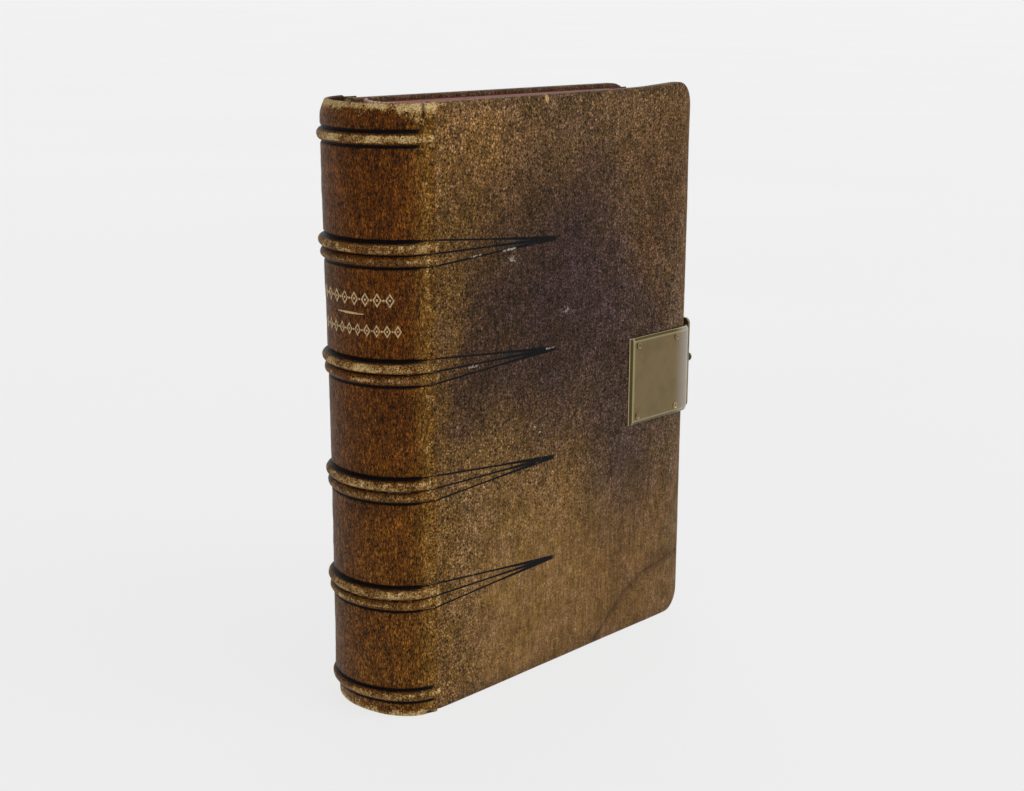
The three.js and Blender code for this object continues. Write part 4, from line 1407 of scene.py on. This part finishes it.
def rounded_profile(points):
    """Rounds a turned profile by cutting its corners twice."""
    for _ in range(2):
        cut = [points[0]]
        for (r0, a0), (r1, a1) in zip(points, points[1:]):
            cut.append((0.75 * r0 + 0.25 * r1, 0.75 * a0 + 0.25 * a1))
            cut.append((0.25 * r0 + 0.75 * r1, 0.25 * a0 + 0.75 * a1))
        cut.append(points[-1])
        points = cut
    return points


PIN_PROFILE = [(0, -2.0), (0.45, -2.0), (0.45, -0.1), (1.0, -0.1), (1.02, 0.10),
               (0.92, 0.30), (0.74, 0.32), (0.58, 0.06), (0.30, -0.12), (0, -0.12)]
KNOB_PROFILE = [(0, -0.8), (0.65, -0.8), (0.65, 0.0), (1.0, 0.0), (1.02, 0.35), (0.82, 0.7),
                (1.30, 1.05), (1.38, 1.45), (1.25, 1.95), (0.85, 2.25), (0.3, 2.35), (0, 2.35)]
PIN_HEIGHT = 10.8                 # pins above and below the clasp's middle
PIN_FROM_PLATE_END = 3.7
PIN_FROM_FORE_EDGE = 7.1


def build_pins(name, side, plate_length, lift):
    """Small pins with dished heads."""
    outward = cover_points(side, 0.0, -1.0, 0.0) - cover_points(side, 0.0, 0.0, 0.0)
    number = 0
    for x in (COVER_WIDTH - plate_length + PIN_FROM_PLATE_END, COVER_WIDTH - PIN_FROM_FORE_EDGE):
        for z in (CLASP_Z + PIN_HEIGHT, CLASP_Z - PIN_HEIGHT):
            number += 1
            sunk = -0.1 if side == FRONT and x > COVER_WIDTH - 8 else 0.0
            centre = cover_points(side, x, sunk - PLATE_GAP - lift, z)
            pin = revolve(f"{name}_plate_pin_{number}", rounded_profile(PIN_PROFILE), centre, outward)
            settle(pin, PIN_BRASS, f"{name}_cover", f"{name}_clasp_pin_{number}")


def build_knob():
    """The turned knob at the strap's free end."""
    low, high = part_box("clasp_knob")
    middle = (low + high) / 2
    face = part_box("clasp_strap")[0].x / MM - JOINT_X + 0.8
    knob = revolve("clasp_finger_knob", rounded_profile(KNOB_PROFILE),
                   (face, middle.y / MM, middle.z / MM), (1, 0, 0), 36)
    settle(knob, DARK_BRASS, "clasp", "clasp_knob")


STRAP_BEVEL = 0.12


def refined(node, name, body, material, width):
    """A CAD solid with its flat faces joined and its edges softened."""
    cad = nodes[node]
    work = bmesh.new()
    work.from_mesh(cad.data)
    bmesh.ops.remove_doubles(work, verts=work.verts, dist=1e-7)
    bmesh.ops.dissolve_limit(work, angle_limit=math.radians(1.5), verts=work.verts, edges=work.edges)
    mesh = bpy.data.meshes.new(name)
    work.to_mesh(mesh)
    work.free()
    mesh.materials.clear()
    piece = add_object(name, mesh)
    bevel = piece.modifiers.new("soft_edges", "BEVEL")
    bevel.width = width * MM
    bevel.segments = 3
    bevel.limit_method = "ANGLE"
    bevel.angle_limit = math.radians(35)
    mesh.polygons.foreach_set("use_smooth", [False] * len(mesh.polygons))
    settle(piece, material, body, node)


# ---- everything -------------------------------------------------------------------------------

build_spine()
build_cover("front", FRONT)
build_cover("back", BACK)
for part, side in SIDES.items():
    build_joint(part, side)
build_gilt()
build_text_block()
for part, side in SIDES.items():
    build_flyleaf(part, side)
for part, side in SIDES.items():
    build_pastedown(part, side)
build_endband("head_endband", HEIGHT - SQUARE + 0.75)
build_endband("tail_endband", SQUARE - 0.75)
build_front_plate()
build_pins("front", FRONT, PLATE_LENGTH, BRASS + 0.27)
build_pins("back", BACK, BACK_PLATE_LENGTH, BRASS)
build_knob()
refined("clasp_strap", "clasp_strap_brass", "clasp", STRAP_BRASS, STRAP_BEVEL)
refined("back_clasp_plate", "back_hinge_plate", "back_cover", STRAP_BRASS, STRAP_BEVEL)

KEPT_SOLIDS = [
    (CARD, ["spine_hollow_card"]),
    (BOARD, ["front_board", "back_board", "head_fillet", "tail_fillet"]),
    (BOARD, [f"raised_band_{number}" for number in range(1, 5)]),
    (LINEN, ["spine_lining"] + [f"sewing_tape_{number}" for number in range(1, 5)]),
    (DARK_BRASS, ["clasp_hinge_pin"]),
]
for material, names in KEPT_SOLIDS:
    for name in names:
        for material_slot in nodes[name].material_slots:
            material_slot.material = material


# ---- stage ------------------------------------------------------------------------------------

CAMERA_PLACE = (-292.3, -329.9, 196.0)
CAMERA_AZIMUTH = -45.82
CAMERA_ELEVATION = 14.01
CAMERA_ROLL = 0.34
CAMERA_LENS = 59.2
FLOOR_HALF = 40
FLOOR_GREYS = (0.08, 0.09)
FLOOR_EMISSION = 0.765
GLOW = (-0.35, 0.8, 0.36, 1.05)   # direction along X and strength, where the glow starts and ends


def direction(azimuth, elevation):
    """Unit vector from the book; azimuth 0 is in front of the front cover, 90 at the fore-edge."""
    return Vector((math.sin(azimuth) * math.cos(elevation), -math.cos(azimuth) * math.cos(elevation),
                   math.sin(elevation)))


def build_camera():
    a, e, r = (math.radians(v) for v in (CAMERA_AZIMUTH, CAMERA_ELEVATION, CAMERA_ROLL))
    back = direction(a, e)
    right = (-back).cross(Vector((0, 0, 1))).normalized()
    up = right.cross(-back)
    rolled_right = math.cos(r) * right + math.sin(r) * up
    rolled_up = -math.sin(r) * right + math.cos(r) * up
    data = bpy.data.cameras.new("camera")
    data.lens = CAMERA_LENS
    data.sensor_width = 36
    data.clip_start, data.clip_end = 0.01, 100
    camera = add_object("camera", data)
    turn = Matrix((rolled_right, rolled_up, back)).transposed().to_4x4()
    camera.matrix_world = Matrix.Translation(place(CAMERA_PLACE)) @ turn
    bpy.context.scene.camera = camera


def sun(name, azimuth, elevation, strength, spread):
    """A soft distant light, with its angles in degrees."""
    data = bpy.data.lights.new(name, "SUN")
    data.energy, data.angle = strength, math.radians(spread)
    light = add_object(name, data)
    light.rotation_mode = "QUATERNION"
    towards = direction(math.radians(azimuth), math.radians(elevation))
    light.rotation_quaternion = towards.to_track_quat("Z", "Y")


def build_stage():
    corners = [(x * FLOOR_HALF, y * FLOOR_HALF, 0) for x, y in ((-1, -1), (1, -1), (1, 1), (-1, 1))]
    floor = mesh_object("floor", corners, [(0, 1, 2, 3)], False)
    paint = Paint("floor")
    spot = paint.object_place()
    haze = paint.noise(spot, 0.4, 2.0)
    greys = [(grey, grey, grey, 1) for grey in FLOOR_GREYS]
    tint = paint.mix(paint.ramp(haze, 0.3, 0.7), *greys)
    paint.finish(Base_Color=tint, Roughness=0.8, Specular_IOR_Level=0.1,
                 Emission_Color=(1, 1, 1, 1), Emission_Strength=FLOOR_EMISSION)
    floor.data.materials.append(paint.material)

    # a studio that is brighter overhead and towards the fore-edge than on the spine's side
    world = bpy.data.worlds.new("studio")
    bpy.context.scene.world = world
    world.use_nodes = True
    tree = world.node_tree
    direction = tree.nodes.new("ShaderNodeTexCoord").outputs["Generated"]
    split = tree.nodes.new("ShaderNodeSeparateXYZ")
    tree.links.new(direction, split.inputs[0])
    glow = tree.nodes.new("ShaderNodeMapRange")
    glow.interpolation_type = "SMOOTHSTEP"
    for i, number in enumerate(GLOW):
        glow.inputs[i + 1].default_value = number
    tree.links.new(split.outputs[0], glow.inputs[0])
    tree.links.new(glow.outputs[0], tree.nodes["Background"].inputs[1])
    tree.nodes["Background"].inputs[0].default_value = (0.99, 0.99, 1.0, 1)
    sun("key", azimuth=25, elevation=48, strength=0.95, spread=50)
    sun("side", azimuth=-70, elevation=30, strength=0.35, spread=60)


build_camera()
build_stage()
bpy.context.scene.view_settings.view_transform = "Standard"
